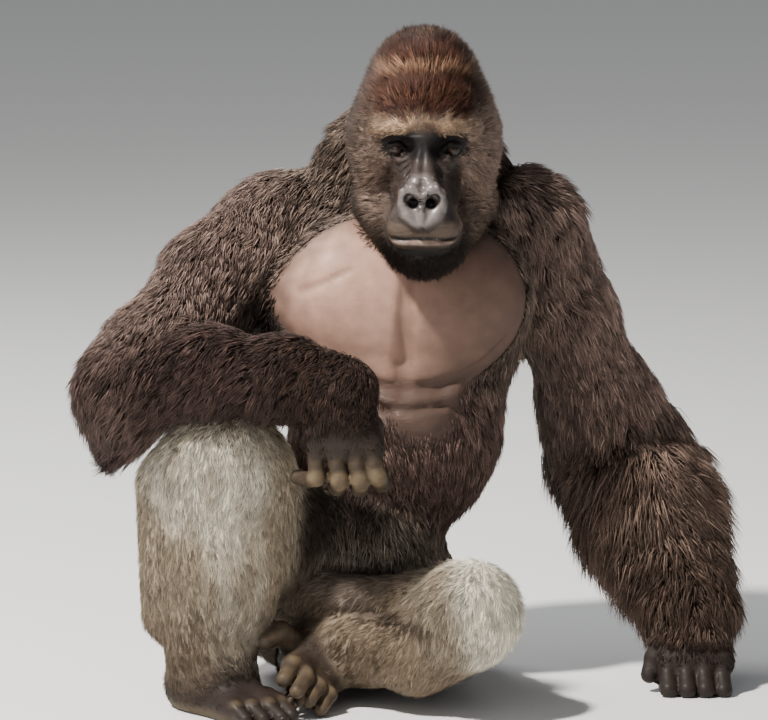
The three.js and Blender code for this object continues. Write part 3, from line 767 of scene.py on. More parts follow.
def coatTones(p, shares):
    tip, root = shares.T @ tipTable, shares.T @ rootTable

    def paint(amount, newTip, newRoot):
        nonlocal tip, root
        tip, root = blendTo(tip, tone(*newTip), amount), blendTo(root, tone(*newRoot), amount)
    head = p - headCentre
    headShare = shares[partsNamed("head", "brow")].sum(axis=0)
    # the silver saddle fades out over the shoulders and the nape
    saddle = shares[partsNamed("neck", "chest", "abdomen", "upper_arm")].sum(axis=0)
    below = ease(800, 700, p[:, 2] + 14 * ripple(p, 60, 2.0))
    saddle = saddle * ease(250, 150, np.abs(p[:, 0] + 10)) * below
    paint(saddle * ease(30, 150, p[:, 1]) * 0.85, *saddleHair)
    ragged = head[:, 2] + 6 * ripple(p, 40, 4.0) + 3 * ripple(p, 17, 1.0)
    # the tan brow is dark in the middle and darkens to its ends
    browShare = shares[partIndex["brow"]] * ease(66, 54, ragged)
    paint(browShare * ease(52, 82, np.abs(head[:, 0])) * 0.7, (88, 70, 60), (42, 33, 28))
    paint(within(p, inHead(0, -150, 30), 18, 40, 17) * 0.8, (74, 58, 50), (34, 25, 21))
    paint(browShare * ease(0.1, 0.7, ripple(p, 26, 5.0)) * 0.35, (104, 82, 66), (60, 46, 38))
    # painted light: the side of the head towards the animal's left, which the lamps leave in shade, is
    # lightened
    paint(headShare * ease(36, 84, head[:, 0]) * 0.8, (206, 178, 160), (94, 75, 66))
    # two tiers of reddish hair on the crown, each dark at its foot and pale at its tips, fading behind
    crown = headShare * ease(50, 62, ragged) * ease(98, 46, np.abs(head[:, 0])) * ease(70, -40, head[:, 1])
    paint(crown, (84, 52, 37), (33, 19, 13))
    turn = np.arctan2(head[:, 0], head[:, 2] - 20)
    rays = ripple(np.stack([turn * 120, head[:, 2] * 0.3, head[:, 1] * 0.1], axis=1), 9, 2.0)
    tier = np.interp(ragged, [50, 62, 86, 98, 112, 120, 130, 144, 160, 172],
                     [0.6, 1, 0.8, 0, -0.8, 0.4, 1, 0.6, -0.6, -0.5])
    paint(crown * np.maximum(tier, 0), (62, 27, 15), (22, 10, 6))
    paint(crown * np.maximum(-tier, 0), (170, 134, 108), (80, 56, 42))
    paint(crown * np.maximum(rays, 0) * 0.5, (142, 106, 84), (60, 38, 27))
    paint(crown * np.maximum(-rays, 0) * 0.6, (42, 22, 15), (18, 9, 6))
    # grizzled cheeks, a dark chin
    cheeks = sum(within(p, inHead(x, -92, -38), 30, 60, 54) for x in (-72, 72))
    paint(np.clip(cheeks, 0, 1) * 0.85, (152, 130, 116), (54, 41, 36))
    paint(within(p, inHead(74, -92, -40), 34, 60, 62) * 0.6, (186, 160, 142), (70, 54, 47))
    besideNose = sum(within(p, inHead(x, -124, -40), 17, 44, 34) for x in (-38, 38))
    paint(np.clip(besideNose, 0, 1) * 0.85, (66, 51, 44), (26, 19, 16))
    paint(within(p, inHead(0, -136, -160), 78, 78, 44) * 0.95, (32, 21, 17), (11, 8, 6))
    # silver on the knees and the groin, with the knees' silver pushed near white as a painted highlight,
    # and dark towards hands and feet
    kneeR, kneeL = knee["right"], knee["left"]
    streaks = 0.5 + 0.5 * ripple(p * vec(1, 1, 0.25), 46, 1.3)
    legShare = shares[partsNamed("thigh", "shank")].sum(axis=0)
    onKnee = within(p, kneeR + vec(-20, -40, 10), 84, 100, 84)
    paint(legShare * onKnee * (0.25 + 0.75 * streaks), *silverAndHighlightHair)
    paint(legShare * within(p, vec(-258, -300, 200), 40, 90, 130) * 0.7 * streaks, *silverAndHighlightHair)
    paint(legShare * within(p, kneeL + vec(34, -20, 20), 52, 80, 80) * 0.95, *silverAndHighlightHair)
    # dark hair with painted shade, in the hollow between the belly and the right thigh
    paint(within(p, vec(-120, -120, 250), 60, 90, 80) * 0.8, *darkHair)
    # the hair between the legs, in shadow on the inner side of the thigh
    innerThigh = shares[partsNamed("thigh_right")].sum(axis=0) * ease(-190, -150, p[:, 0])
    paint(innerThigh * 0.85, *darkHair)
    groin = within(p, vec(-90, -150, 190), 55, 120, 42)
    paint(groin * (0.35 + 0.35 * streaks), (176, 164, 154), (84, 73, 66))
    # painted shade: the upturned top of the folded left leg by the groin is darkened where the lamp lights
    # it
    paint(within(p, vec(-95, -210, 190), 70, 70, 36) * 0.6, (122, 106, 94), (60, 50, 43))
    # painted shade: a dark line along the crease of the folded left leg
    wavy = p + np.outer(ripple(p, 70, 1.0), vec(0, 0, 3))
    paint(within(wavy, vec(-35, -290, 145), 105, 90, 8, 0.7) * 0.8, *darkHair)
    low = ease(230, 60, p[:, 2]) * shares[partsNamed("shank_right")].sum(axis=0)
    paint(low * 0.8, (116, 98, 82), (56, 45, 37))
    armpit = within(p, vec(-178, -60, 560), 70, 80, 60)
    paint(armpit * 0.85, *darkHair)
    wristward = shares[partsNamed("forearm")].sum(axis=0) * np.maximum(
        within(p, wrist["right"], 90, 90, 90), within(p, wrist["left"], 110, 110, 110) * 0.6)
    paint(wristward * 0.8, (58, 43, 35), (24, 16, 13))
    # the left arm is the paler one down to the elbow
    tip = tip * (1 + 0.4 * ease(190, 320, p[:, 0]) * ease(240, 330, p[:, 2]))[:, None]
    return tip, root


def skinTone(p, shares):
    tip, root = coatTones(p, shares)
    faceParts = shares[partsNamed("head", "brow", "muzzle", "jaw")].sum(axis=0)
    colour = root + (tip - root) * (0.4 - 0.3 * faceParts)[:, None]

    def paint(other, amount):
        nonlocal colour
        colour = blendTo(colour, other, np.clip(amount, 0, 1))
    head = p - headCentre
    trunk = shares[partsNamed("chest", "abdomen")].sum(axis=0) * ease(-20, -60, p[:, 1])
    bare = bareness(p, shares)
    depthIn = np.maximum(-bareChest.at(p), -bareBelly.at(p))
    paint(skinTones["edge"], trunk * bare * 1.4)
    chestTone = blendTo(np.repeat(skinTones["chest"][None], len(p), axis=0), skinTones["belly"],
                        ease(515, 445, p[:, 2]))
    chestTone = chestTone * (1 + 0.12 * ripple(p, 120, 2.0) + 0.07 * ripple(p, 37, 5.0))[:, None]
    # painted shadow: the bare chest darkens towards the animal's left, where the head's shadow falls
    chestTone = chestTone * (1 - 0.7 * ease(-80, 100, p[:, 0]))[:, None]
    paint(chestTone, trunk * bare * ease(-10, 78, depthIn + 14 * ripple(p, 44, 1.0)))
    # painted shade along the chest's grooves and folds
    for _, fold in chestCarves:
        paint(skinTones["edge"], trunk * bare * ease(7, -2, fold.near(p, 40)) * 0.4)
    mask = faceMask(p) * faceParts
    paint(skinTones["face"] * (1 + 0.18 * ripple(p, 22, 3.0))[:, None], mask)
    paint(skinTones["cheek"], mask * ease(30, 52, np.abs(head[:, 0])))
    underNose = 1 - within(p, inHead(0, -190, -80), 26, 40, 26, 0.3)
    paint(skinTones["lips"], mask * ease(-88, -98, head[:, 2]) * underNose)
    # black hollows of the eyes, joined across the bridge of the nose: dark skin with painted shade from the
    # brow
    browShadowBand = ease(38, 30, head[:, 2]) * ease(-10, 2, head[:, 2]) * ease(76, 62, np.abs(head[:, 0]))
    paint(skinTones["socket"], browShadowBand * ease(-90, -104, head[:, 1]))
    for _, socket in faceCarves[:2]:
        paint(skinTones["socket"], ease(9, -1, socket.near(p, 40)))
    for side in (-1, 1):
        paint(skinTones["lid"], within(p, inHead(side * 39, -127, -4), 14, 8, 5, 0.4) * 0.8)
    # the nose's grey skin, lightened in part as a painted sheen, and a painted highlight along its top
    paint(skinTones["nose"], within(p, inHead(0, -190, -64), 36, 40, 31, 0.25))
    paint(skinTones["noseTopSheen"], within(p, inHead(0, -176, -38), 17, 26, 13, 0.6) * 0.7)
    strip = within(p, inHead(0, -166, -123.5), 42, 30, 3.6, 0.35)
    paint(skinTones["lipLine"], strip * (0.7 + 0.3 * ripple(p, 16, 1.0)))
    x = acrossFace(head)
    offLine = np.abs(head[:, 2] - face["mouthHeight"] - np.interp(x, *zip(*mouthShape)))
    onLips = ease(51, 47, np.abs(x)) * ease(-112, -124, head[:, 1])
    # painted shade in the line of the mouth, the cleft of the nose and the nostrils
    paint(skinTones["dark"], ease(3.6, 1.4, offLine) * onLips)
    paint(skinTones["dark"], ease(3, -1, faceCarves[4][1].near(p, 40)) * 0.6)
    for _, nostril in faceCarves[2:4]:
        paint(skinTones["dark"] * 0.5, ease(2.0, -0.8, nostril.near(p, 40)))
    paint(skinTones["dark"], within(p, inHead(0, -136, -160), 70, 70, 30) * mask)
    limbs = shares[partsNamed("finger", "toe", "hand", "foot")].sum(axis=0)
    paint(skinTones["palm"], limbs * 0.9)
    rightFingers = shares[partsNamed("finger_right")].sum(axis=0) * (0.45 + 0.3 * ripple(p, 22, 1.0))
    paint(skinTones["pad"] * 0.5, rightFingers)
    pads = padsAt(p, shares) * (0.75 + 0.35 * ripple(p, 30, 2.0)) * ease(250, 150, p[:, 0])
    paint(skinTones["pad"], pads)
    leftToes = shares[partsNamed("toe_left")].sum(axis=0) * (0.4 + 0.25 * ripple(p, 24, 4.0))
    paint(skinTones["pad"], leftToes)
    paint(skinTones["pad"] * 0.7, shares[partsNamed("foot")].sum(axis=0) * ease(22, 8, p[:, 2]) * 0.8)
    paint(skinTones["palm"], shares[partsNamed("ear")].sum(axis=0))
    return colour


# which way the hair lies on each part
def lieOf(name, p):
    down = vec(0, 0, -1)
    kind, _, side = name.rpartition("_")

    def oneWay(way):
        return np.repeat([unit(way)], len(p), axis=0)

    def parting(middle, spread, back):
        # down to both sides of a line on the back
        ways = [(p[:, 0] - middle) * spread, np.full(len(p), back), np.full(len(p), -1.0)]
        return unit(np.stack(ways, axis=1))
    if name in ("head", "brow"):
        return unit(p - inHead(0, -156, 28))
    if name in ("jaw", "muzzle"):
        return unit(p - inHead(0, -150, -96) + vec(0, 20, -30))
    if name in ("neck", "chest"):
        return parting(-10, 0.005, 0.25)
    if name in ("abdomen", "hips"):
        return parting(-40, 0.002, 0.05)
    if kind == "upper_arm":
        return oneWay(unit(elbow[side] - shoulder[side]) + 0.3 * down)
    if name == "forearm_right":
        return oneWay(0.55 * unit(elbow[side] - wrist[side]) + 0.7 * down)
    if name == "forearm_left":
        axis = unit(wrist[side] - elbow[side])
        out = p - elbow[side]
        out = unit((out - (out @ axis)[:, None] * axis) * vec(1, 0.3, 0.3))
        return unit(out * 0.55 + 0.3 * axis + 0.9 * down)
    if kind == "thigh":
        return oneWay(0.45 * unit(knee[side] - hip[side]) + 0.75 * down)
    if kind == "shank":
        return oneWay(0.7 * unit(ankle[side] - knee[side]) + 0.5 * down)
    if name.startswith(("hand", "finger")):
        return oneWay(vec(-0.1, -0.5, -1))
    if name.startswith(("foot", "toe")):
        return oneWay(vec(0.627, -0.779, -0.2) if "right" in name else vec(-0.5, -0.8, -0.2))
    return oneWay(down)


furry = [i for i, name in enumerate(partNames) if coatOf(name)["length"] > 0]


# what each root's row of growth holds, and where
inRow = {"length": 0, "width": 1, "lift": 2, "tip": slice(3, 6), "root": slice(6, 9), "lie": slice(9, 12),
         "main": 12, "bare": 13}


def growthAt(p):
    values = valuesAt(p)
    shares = sharesOf(values)
    tip, root = coatTones(p, shares)
    broad = sharesOf(values, 26.0)
    head = np.clip(shares[partsNamed("head", "brow", "muzzle", "jaw")].sum(axis=0), 0, 1)
    broad = broad + (shares - broad) * head
    lie = sum(broad[i][:, None] * lieOf(partNames[i], p) for i in furry)
    length, width, lift = [coatTable(key) @ shares for key in ("length", "width", "lift")]
    atWrist = np.maximum(within(p, wrist["right"], 80, 80, 80, 0.6),
                         within(p, wrist["left"], 80, 80, 80, 0.6) * 0.7)
    above = p - headCentre
    onCrown = shares[partsNamed("head", "brow")].sum(axis=0)
    onCrown = onCrown * ease(52, 88, above[:, 2]) * ease(60, -20, above[:, 1])
    length = length * (1 - 0.4 * atWrist)
    length = length + (coatOf("head")["length"] * 1.3 - length) * onCrown
    width = width + (coatOf("head")["width"] - width) * onCrown
    lift = lift + 0.12 * onCrown
    main = np.array(furry)[shares[furry].argmax(axis=0)]
    return np.column_stack([length, width, lift, tip, root, lie, main, bareness(p, shares)])


# the coat's pieces, and the parts of the body that each one covers
pieces = {
    "head_coat": ["head"], "face_coat": ["brow", "jaw", "muzzle"], "nape_coat": ["neck"],
    "back_coat": ["chest"], "belly_coat": ["abdomen"], "rump_coat": ["hips"],
    "upper_arm_right_coat": ["upper_arm_right"], "upper_arm_left_coat": ["upper_arm_left"],
    "forearm_right_coat": ["forearm_right", "hand_right"] + [f"finger_right_{n}" for n in range(1, 6)],
    "forearm_left_coat": ["forearm_left", "hand_left"] + [f"finger_left_{n}" for n in range(1, 6)],
    "thigh_right_coat": ["thigh_right"], "thigh_left_coat": ["thigh_left"],
    "shank_right_coat": ["shank_right", "foot_right"] + [f"toe_right_{n}" for n in range(1, 6)],
    "shank_left_coat": ["shank_left", "foot_left"] + [f"toe_left_{n}" for n in range(1, 6)],
}


def plantRoots():
    middles = corners.mean(axis=1)

    def thickness(p):
        shares = sharesOf(valuesAt(p))
        spacing = [coatOf(name)["spacing"] for name in partNames]
        perArea = np.array([1 / gap ** 2 if gap else 0 for gap in spacing])
        return (perArea @ shares) * (1 - bareness(p, shares)) * (p[:, 2] > 3)
    expected = inChunks(thickness, middles) * faceAreas
    running = np.cumsum(expected)
    picks = np.searchsorted(running, np.arange(rng.random(), running[-1], 1.0))
    a, b = rng.random((2, len(picks)))
    fold = a + b > 1
    a, b = np.where(fold, 1 - a, a), np.where(fold, 1 - b, b)
    weights = np.stack([1 - a - b, a, b], axis=1)
    spots = (points[triangles[picks]] * weights[:, :, None]).sum(axis=1)
    facing = unit((normals[triangles[picks]] * weights[:, :, None]).sum(axis=1))
    return spots, facing


roots, facing = plantRoots()
growth = inChunks(growthAt, roots)
print("roots of the coat:", len(roots))


def chartOf(name, p):
    # an unwrap of the part itself: round its long axis and along it
    shape = parts[name]
    middle, size = (shape.low + shape.high) / 2, shape.high - shape.low
    axis = np.eye(3)[size.argmax()]
    across = np.eye(3)[(size.argmax() + 1) % 3]
    third = np.cross(axis, across)
    q = p - middle
    return np.stack([np.arctan2(q @ third, q @ across) / (2 * math.pi) + 0.5,
                     np.clip((q @ axis + size.max() * 0.6) / (size.max() * 1.2), 0, 1)], axis=1)


# long and short hair: how many tufts make a clump, how far they droop, wander and lean to its tip, and
# how much brighter a shining one is
locks = {"long": {"clump": 14, "sag": 0.10, "curl": 0.07, "pull": 0.25, "glint": 0.8},
         "short": {"clump": 7, "sag": 0.03, "curl": 0.04, "pull": 0.22, "glint": 0.6}}
# how locks and clumps vary: spreads of their turn, ranges of the rest, and the middle and spread of light
vary = {"clumpTurn": 0.22, "lockTurn": 0.12, "swirl": 0.35, "clumpLength": (0.75, 1.2),
        "lockLength": (0.8, 1.15), "rise": (0.7, 1.3), "pull": (0.3, 1.2), "width": (0.75, 1.25),
        "clumpLight": (1, 0.26), "lockLight": (0.95, 0.18), "lightRange": (0.45, 2.6)}
# a lock's corners with its flat side out, the share of locks that shine, how near a clump's tip has to be,
# how far locks stay off the floor, and the size of a lock's patch on the map
tuft = {"ring": [(-0.5, -0.14), (0.5, -0.14), (0, 0.26)], "shining": 0.14, "tipWithin": 40,
        "offFloor": 0.6, "patch": 0.003}


def clumpsOf(p, size):
    # tufts near one another share a leader
    leaders = rng.choice(len(p), max(len(p) // size, 1), replace=False)
    tree = kdtree.KDTree(len(leaders))
    for i, leader in enumerate(leaders):
        tree.insert(p[leader], i)
    tree.balance()
    return leaders, np.array([tree.find(spot)[1] for spot in p])


def bendLocks(p, n, g, leaders, clump, lock):
    # the foot, middle and tip of each lock, and the way across it
    count = len(p)
    length, lift, lie, bare = [g[:, inRow[key]] for key in ("length", "lift", "lie", "bare")]
    turn = rng.normal(0, vary["clumpTurn"], len(leaders))[clump] + rng.normal(0, vary["lockTurn"], count)
    turn = turn + vary["swirl"] * ripple(p, 150, 3.0)
    stretch = rng.uniform(*vary["clumpLength"], len(leaders))[clump]
    stretch = stretch * rng.uniform(*vary["lockLength"], count)
    t = unit(lie - (lie * n).sum(axis=1)[:, None] * n)
    side = np.cross(n, t)
    t = t * np.cos(turn)[:, None] + side * np.sin(turn)[:, None]
    side = np.cross(n, t)
    reach = (length * stretch * (1 - 0.8 * bare) * (0.35 + 0.65 * ease(0, 60, p[:, 2])))[:, None]
    rise = (lift * rng.uniform(*vary["rise"], count))[:, None]
    start = p - n * skin["sink"]
    middle = start + (t * np.cos(rise * 1.3) + n * np.sin(rise * 1.3)) * reach * 0.5
    sag = vec(0, 0, -1) * reach * lock["sag"]
    end = middle + (t * np.cos(rise * 0.4) + n * np.sin(rise * 0.4)) * reach * 0.5 + sag
    middle = middle + side * (rng.normal(0, lock["curl"], (count, 1)) * reach)
    pull = lock["pull"] * rng.uniform(*vary["pull"], (count, 1))
    leadTip, leadMiddle = end[leaders][clump], middle[leaders][clump]
    near = (np.linalg.norm(leadTip - end, axis=1) < tuft["tipWithin"])[:, None]
    end = np.where(near, end + (leadTip - end) * pull, end)
    middle = np.where(near, middle + (leadMiddle - middle) * pull * 0.45, middle)
    return start, middle, end, side


def lightOf(p, leaders, clump, lock):
    # clumps and locks differ a little, and some locks catch the light
    glint = 1 + lock["glint"] * (rng.random(len(p)) < tuft["shining"])
    light = rng.normal(*vary["clumpLight"], len(leaders))[clump]
    light = light * rng.normal(*vary["lockLight"], len(p)) * glint
    return np.clip(light * (1 + 0.14 * ripple(p, 90, 7.0)), *vary["lightRange"])[:, None]


def homeOf(members, main, p):
    # where each lock's patch lies on the map: a column for each part
    home = np.zeros((len(p), 2))
    for column, member in enumerate(members):
        mine = main == partIndex[member]
        home[mine] = (chartOf(member, p[mine]) + vec(column, 0, 0)[:2]) / vec(len(members), 1, 1)[:2]
    return home * (1 - tuft["patch"])


def growPiece(members):
    main = growth[:, inRow["main"]].astype(int)
    chosen = np.isin(main, [partIndex[m] for m in members])
    p, n, g, main = roots[chosen], facing[chosen], growth[chosen], main[chosen]
    count = len(p)
    width, tip, root = [g[:, inRow[key]] for key in ("width", "tip", "root")]
    long = coatOf(members[0])["long"]
    lock = locks["long" if long else "short"]
    leaders, clump = clumpsOf(p, lock["clump"])
    start, middle, end, side = bendLocks(p, n, g, leaders, clump, lock)
    light = lightOf(p, leaders, clump, lock)
    wide = (width * rng.uniform(*vary["width"], count))[:, None]
    belt = (middle if long else start)[:, None]
    belt = belt + np.stack([(side * x + n * z) * wide for x, z in tuft["ring"]], axis=1)
    if long:
        # long locks are thin at both ends and bend at the widest place
        verts = np.concatenate([start[:, None], belt, end[:, None]], axis=1)
        shades = [root * 0.8] + [root + (tip - root) * 0.6] * 3 + [tip]
        faces = [(0, 2, 1), (0, 3, 2), (0, 1, 3), (1, 2, 4), (2, 3, 4), (3, 1, 4)]
        height, around = [0, 0.5, 0.5, 0.5, 1], [0.5, 0, 0.5, 1, 0.5]
    else:
        verts = np.concatenate([belt, end[:, None]], axis=1)
        shades = [root * 0.85] * 3 + [tip]
        faces = [(0, 1, 3), (1, 2, 3), (2, 0, 3), (2, 1, 0)]
        height, around = [0, 0, 0, 1], [0, 0.5, 1, 0.5]
    colours = np.stack([shade * light for shade in shades], axis=1)
    faces = (np.array(faces)[None] + np.arange(count)[:, None, None] * verts.shape[1]).reshape(-1, 3)
    uv = homeOf(members, main, p)[:, None] + (np.stack([around, height], axis=1) * tuft["patch"])[None]
    verts = verts.reshape(-1, 3)
    verts[:, 2] = np.maximum(verts[:, 2], tuft["offFloor"])
    return verts, faces, colours.reshape(-1, 3), uv.reshape(-1, 2)


def makeMesh(name, verts, faces, material, tint=None, uv=None, masks=None):
    data = bpy.data.meshes.new(name)
    data.vertices.add(len(verts))
    data.vertices.foreach_set("co", toFrame(verts).astype(np.float32).ravel())
    data.loops.add(faces.size)
    data.loops.foreach_set("vertex_index", faces.astype(np.int32).ravel())
    data.polygons.add(len(faces))
    data.polygons.foreach_set("loop_start", np.arange(0, faces.size, faces.shape[1], dtype=np.int32))
    data.update(calc_edges=True)
    data.shade_smooth()
    if tint is not None:
        layer = data.attributes.new("tint", "FLOAT_COLOR", "POINT")
        withAlpha = np.column_stack([tint, np.ones(len(tint))])
        layer.data.foreach_set("color", withAlpha.astype(np.float32).ravel())
    for key, values in (masks or {}).items():
        layer = data.attributes.new(key, "FLOAT", "POINT")
        layer.data.foreach_set("value", values.astype(np.float32))
    if uv is not None:
        layer = data.uv_layers.new(name="OFBake")
        layer.uv.foreach_set("vector", uv[faces.ravel()].astype(np.float32).ravel())
    data.materials.append(material)
    thing = bpy.data.objects.new(name, data)
    bpy.context.scene.collection.objects.link(thing)
    return thing


# finishes
class Wire:
    # a socket of a material, so that shader maths reads as ordinary sums
    def __init__(self, tree, socket):
        self.tree, self.socket = tree, socket

    def sum(self, operation, first, second):
        return addNode(self.tree, "ShaderNodeMath", {"operation": operation}, {0: first, 1: second})

    def __add__(self, other):
        return self.sum("ADD", self, other)
    __radd__ = __add__

    def __sub__(self, other):
        return self.sum("SUBTRACT", self, other)

    def __rsub__(self, other):
        return self.sum("SUBTRACT", other, self)

    def __mul__(self, other):
        return self.sum("MULTIPLY", self, other)
    __rmul__ = __mul__


def addNode(tree, kind, settings=None, sockets=None, output=0):
    node = tree.nodes.new(kind)
    for key, value in (settings or {}).items():
        if key == "stops":
            for element, (position, colour) in zip(node.color_ramp.elements, value):
                element.position, element.color = position, (*colour, 1)
        else:
            setattr(node, key, value)
    for key, value in (sockets or {}).items():
        if isinstance(value, Wire):
            tree.links.new(value.socket, node.inputs[key])
        elif value is not None:
            node.inputs[key].default_value = value
    return Wire(tree, node.outputs[output])


def startMaterial(name, **fixed):
    material = bpy.data.materials.new(name)
    material.use_nodes = True
    tree = material.node_tree
    surface = tree.nodes["Principled BSDF"]
    for key, value in fixed.items():
        surface.inputs[key.replace("_", " ")].default_value = value
    return material, tree, surface


def connect(surface, key, wire):
    surface.id_data.links.new(wire.socket, surface.inputs[key])


def multiplyColour(tree, colour, amount):
    return addNode(tree, "ShaderNodeVectorMath", {"operation": "SCALE"}, {0: colour, "Scale": amount})


def attributeOf(tree, name, output=0):
    return addNode(tree, "ShaderNodeAttribute", {"attribute_name": name}, output=output)


coatLook = {"Roughness": 0.6, "Specular_IOR_Level": 0.15}
eyeLook = {"Roughness": 0.35, "Specular_IOR_Level": 0.2, "Coat_Weight": 0.3, "Coat_Roughness": 0.03}


def tintedMaterial(name, look):
    material, tree, surface = startMaterial(name, **look)
    connect(surface, "Base Color", attributeOf(tree, "tint"))
    return material


# scales are swells in a metre, heights and relief are for the bump
skinLook = {"tone": 0.78, "mottleTone": 0.44, "roughness": 0.68, "glossTakes": 0.2, "mottleRoughness": 0.12,
            "coat": 0.55, "mottleCoat": 0.3, "mottleScale": 60.0, "mottleHeight": 0.25,
            "poreScale": 620.0, "poreHeight": 0.12, "lineScale": 190.0, "lineStretch": (0.35, 0.6, 1.6),
            "bump": 0.55, "relief": 0.0022}


def skinMaterial():
    material, tree, surface = startMaterial("skin", Specular_IOR_Level=0.25, Coat_Roughness=0.3)
    place = addNode(tree, "ShaderNodeTexCoord", output="Object")
    tint = attributeOf(tree, "tint")
    gloss, wrinkle = attributeOf(tree, "gloss", "Fac"), attributeOf(tree, "wrinkle", "Fac")
    mottle = addNode(tree, "ShaderNodeTexNoise", {},
                     {"Vector": place, "Scale": skinLook["mottleScale"], "Detail": 4.0}, "Fac")
    blotches = skinLook["tone"] + mottle * skinLook["mottleTone"]
    connect(surface, "Base Color", multiplyColour(tree, tint, blotches))
    roughness = skinLook["roughness"] - gloss * skinLook["glossTakes"]
    connect(surface, "Roughness", roughness + (mottle - 0.5) * skinLook["mottleRoughness"])
    connect(surface, "Coat Weight", gloss * (skinLook["coat"] + mottle * skinLook["mottleCoat"]))
    pores = addNode(tree, "ShaderNodeTexVoronoi", {"feature": "F1"},
                    {"Vector": place, "Scale": skinLook["poreScale"]}, "Distance")
    stretched = addNode(tree, "ShaderNodeMapping", {}, {"Vector": place, "Scale": skinLook["lineStretch"]})
    lines = addNode(tree, "ShaderNodeTexNoise", {},
                    {"Vector": stretched, "Scale": skinLook["lineScale"], "Detail": 3.0}, "Fac")
    height = pores * skinLook["poreHeight"] + lines * wrinkle + mottle * skinLook["mottleHeight"]
    bump = addNode(tree, "ShaderNodeBump", {}, {
        "Strength": skinLook["bump"], "Distance": skinLook["relief"], "Height": height})
    connect(surface, "Normal", bump)
    return material


nailLook = {"stops": [(0.3, tone(38, 30, 26)), (0.7, tone(72, 60, 50))], "grainScale": 300.0,
            "roughness": 0.32, "grainRoughness": 0.2, "bump": 0.3, "relief": 0.0006}


def nailMaterial():
    material, tree, surface = startMaterial("nail", Specular_IOR_Level=0.5)
    place = addNode(tree, "ShaderNodeTexCoord", output="Object")
    grain = addNode(tree, "ShaderNodeTexNoise", {},
                    {"Vector": place, "Scale": nailLook["grainScale"], "Detail": 3.0}, "Fac")
    ramp = addNode(tree, "ShaderNodeValToRGB", {"stops": nailLook["stops"]}, {0: grain})
    connect(surface, "Base Color", ramp)
    connect(surface, "Roughness", nailLook["roughness"] + grain * nailLook["grainRoughness"])
    bump = addNode(tree, "ShaderNodeBump", {}, {
        "Strength": nailLook["bump"], "Distance": nailLook["relief"], "Height": grain})
    connect(surface, "Normal", bump)
    return material


flesh = [name for name in frame["nodes"] if not name.startswith("eye_")]


def makeSkin():
    def looks(p):
        shares = sharesOf(valuesAt(p), 7.0)
        nose = within(p, inHead(0, -190, -62), 34, 40, 34, 0.3)
        faceArea = within(p, inHead(0, -150, -40), 66, 70, 92, 0.3)
        bare = bareness(p, shares)
        inSocket = np.max([ease(14, 4, socket.near(p, 40)) for _, socket in faceCarves[:2]], axis=0)
        gloss = np.clip(nose * 0.7 + faceArea * 0.12 + bare * 0.1, 0, 1) * (1 - 0.95 * inSocket)
        wrinkle = np.clip(bare * (0.25 + ease(500, 450, p[:, 2])) + faceArea * 0.8, 0, 1)
        return np.column_stack([skinTone(p, shares), gloss, wrinkle])
    table = inChunks(looks, points)
    piece = makeMesh("skin", points, triangles, skinMaterial(), table[:, :3],
                     masks={"gloss": table[:, 3], "wrinkle": table[:, 4]})
    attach(piece, "root")
    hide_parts(*flesh)


def makeCoat():
    material = tintedMaterial("coat", coatLook)
    total = 0
    for name, members in pieces.items():
        verts, faces, colours, uv = growPiece(members)
        piece = makeMesh(name, verts, faces, material, colours, uv)
        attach(piece, "root")
        total += len(faces)
        print(name, len(faces), "triangles")
    print("coat:", total, "triangles")


eyes = {"iris": 6.2, "pupil": 2.4, "bulge": 1.0, "rings": 40, "steps": 48,
        "whiteTone": tone(20, 13, 10), "irisTone": tone(48, 27, 14), "pupilTone": tone(4, 3, 3)}


def makeEye(side):
    # a ball whose pole looks ahead, in rings from the pupil back
    angles = np.linspace(0, math.pi, eyes["rings"])
    turns = np.arange(eyes["steps"]) * 2 * math.pi / eyes["steps"]
    irisAngle = math.asin(eyes["iris"] / face["eyeRadius"])
    radius = face["eyeRadius"] + eyes["bulge"] * ease(irisAngle * 1.2, 0, angles)
    verts = np.stack([np.outer(np.sin(angles) * radius, np.cos(turns)),
                      np.repeat(-(np.cos(angles) * radius)[:, None], len(turns), axis=1),
                      np.outer(np.sin(angles) * radius, np.sin(turns))], axis=-1).reshape(-1, 3)
    faces = []
    for i in range(eyes["rings"] - 1):
        for j in range(eyes["steps"]):
            k = (j + 1) % eyes["steps"]
            faces.append([i * eyes["steps"] + j, i * eyes["steps"] + k,
                          (i + 1) * eyes["steps"] + k, (i + 1) * eyes["steps"] + j])
    across = np.repeat(np.sin(angles) * face["eyeRadius"], len(turns))
    front = np.repeat(np.cos(angles) > 0, len(turns))
    tint = np.repeat(eyes["whiteTone"][None], len(verts), axis=0)
    tint = blendTo(tint, eyes["irisTone"], ease(eyes["iris"], eyes["iris"] - 1, across) * front)
    tint = blendTo(tint, eyes["pupilTone"], ease(eyes["pupil"] + 0.6, eyes["pupil"], across) * front)
    name = "eye_left" if side > 0 else "eye_right"
    piece = makeMesh(name + "_ball", verts + eyeCentre(side), np.array(faces),
                     tintedMaterial("eye", eyeLook), tint)
    merge = bmesh.new()
    merge.from_mesh(piece.data)
    bmesh.ops.remove_doubles(merge, verts=merge.verts[:], dist=1e-6)
    merge.to_mesh(piece.data)
    merge.free()
    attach(piece, "root")
    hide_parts(name)


# in half widths of the nail
nailShape = {"length": 1.35, "arch": 0.55, "thick": 0.16, "droop": 0.10, "root": 0.94, "belly": 0.06,
             "taper": 0.22, "round": 0.12, "columns": 8, "rows": 6}


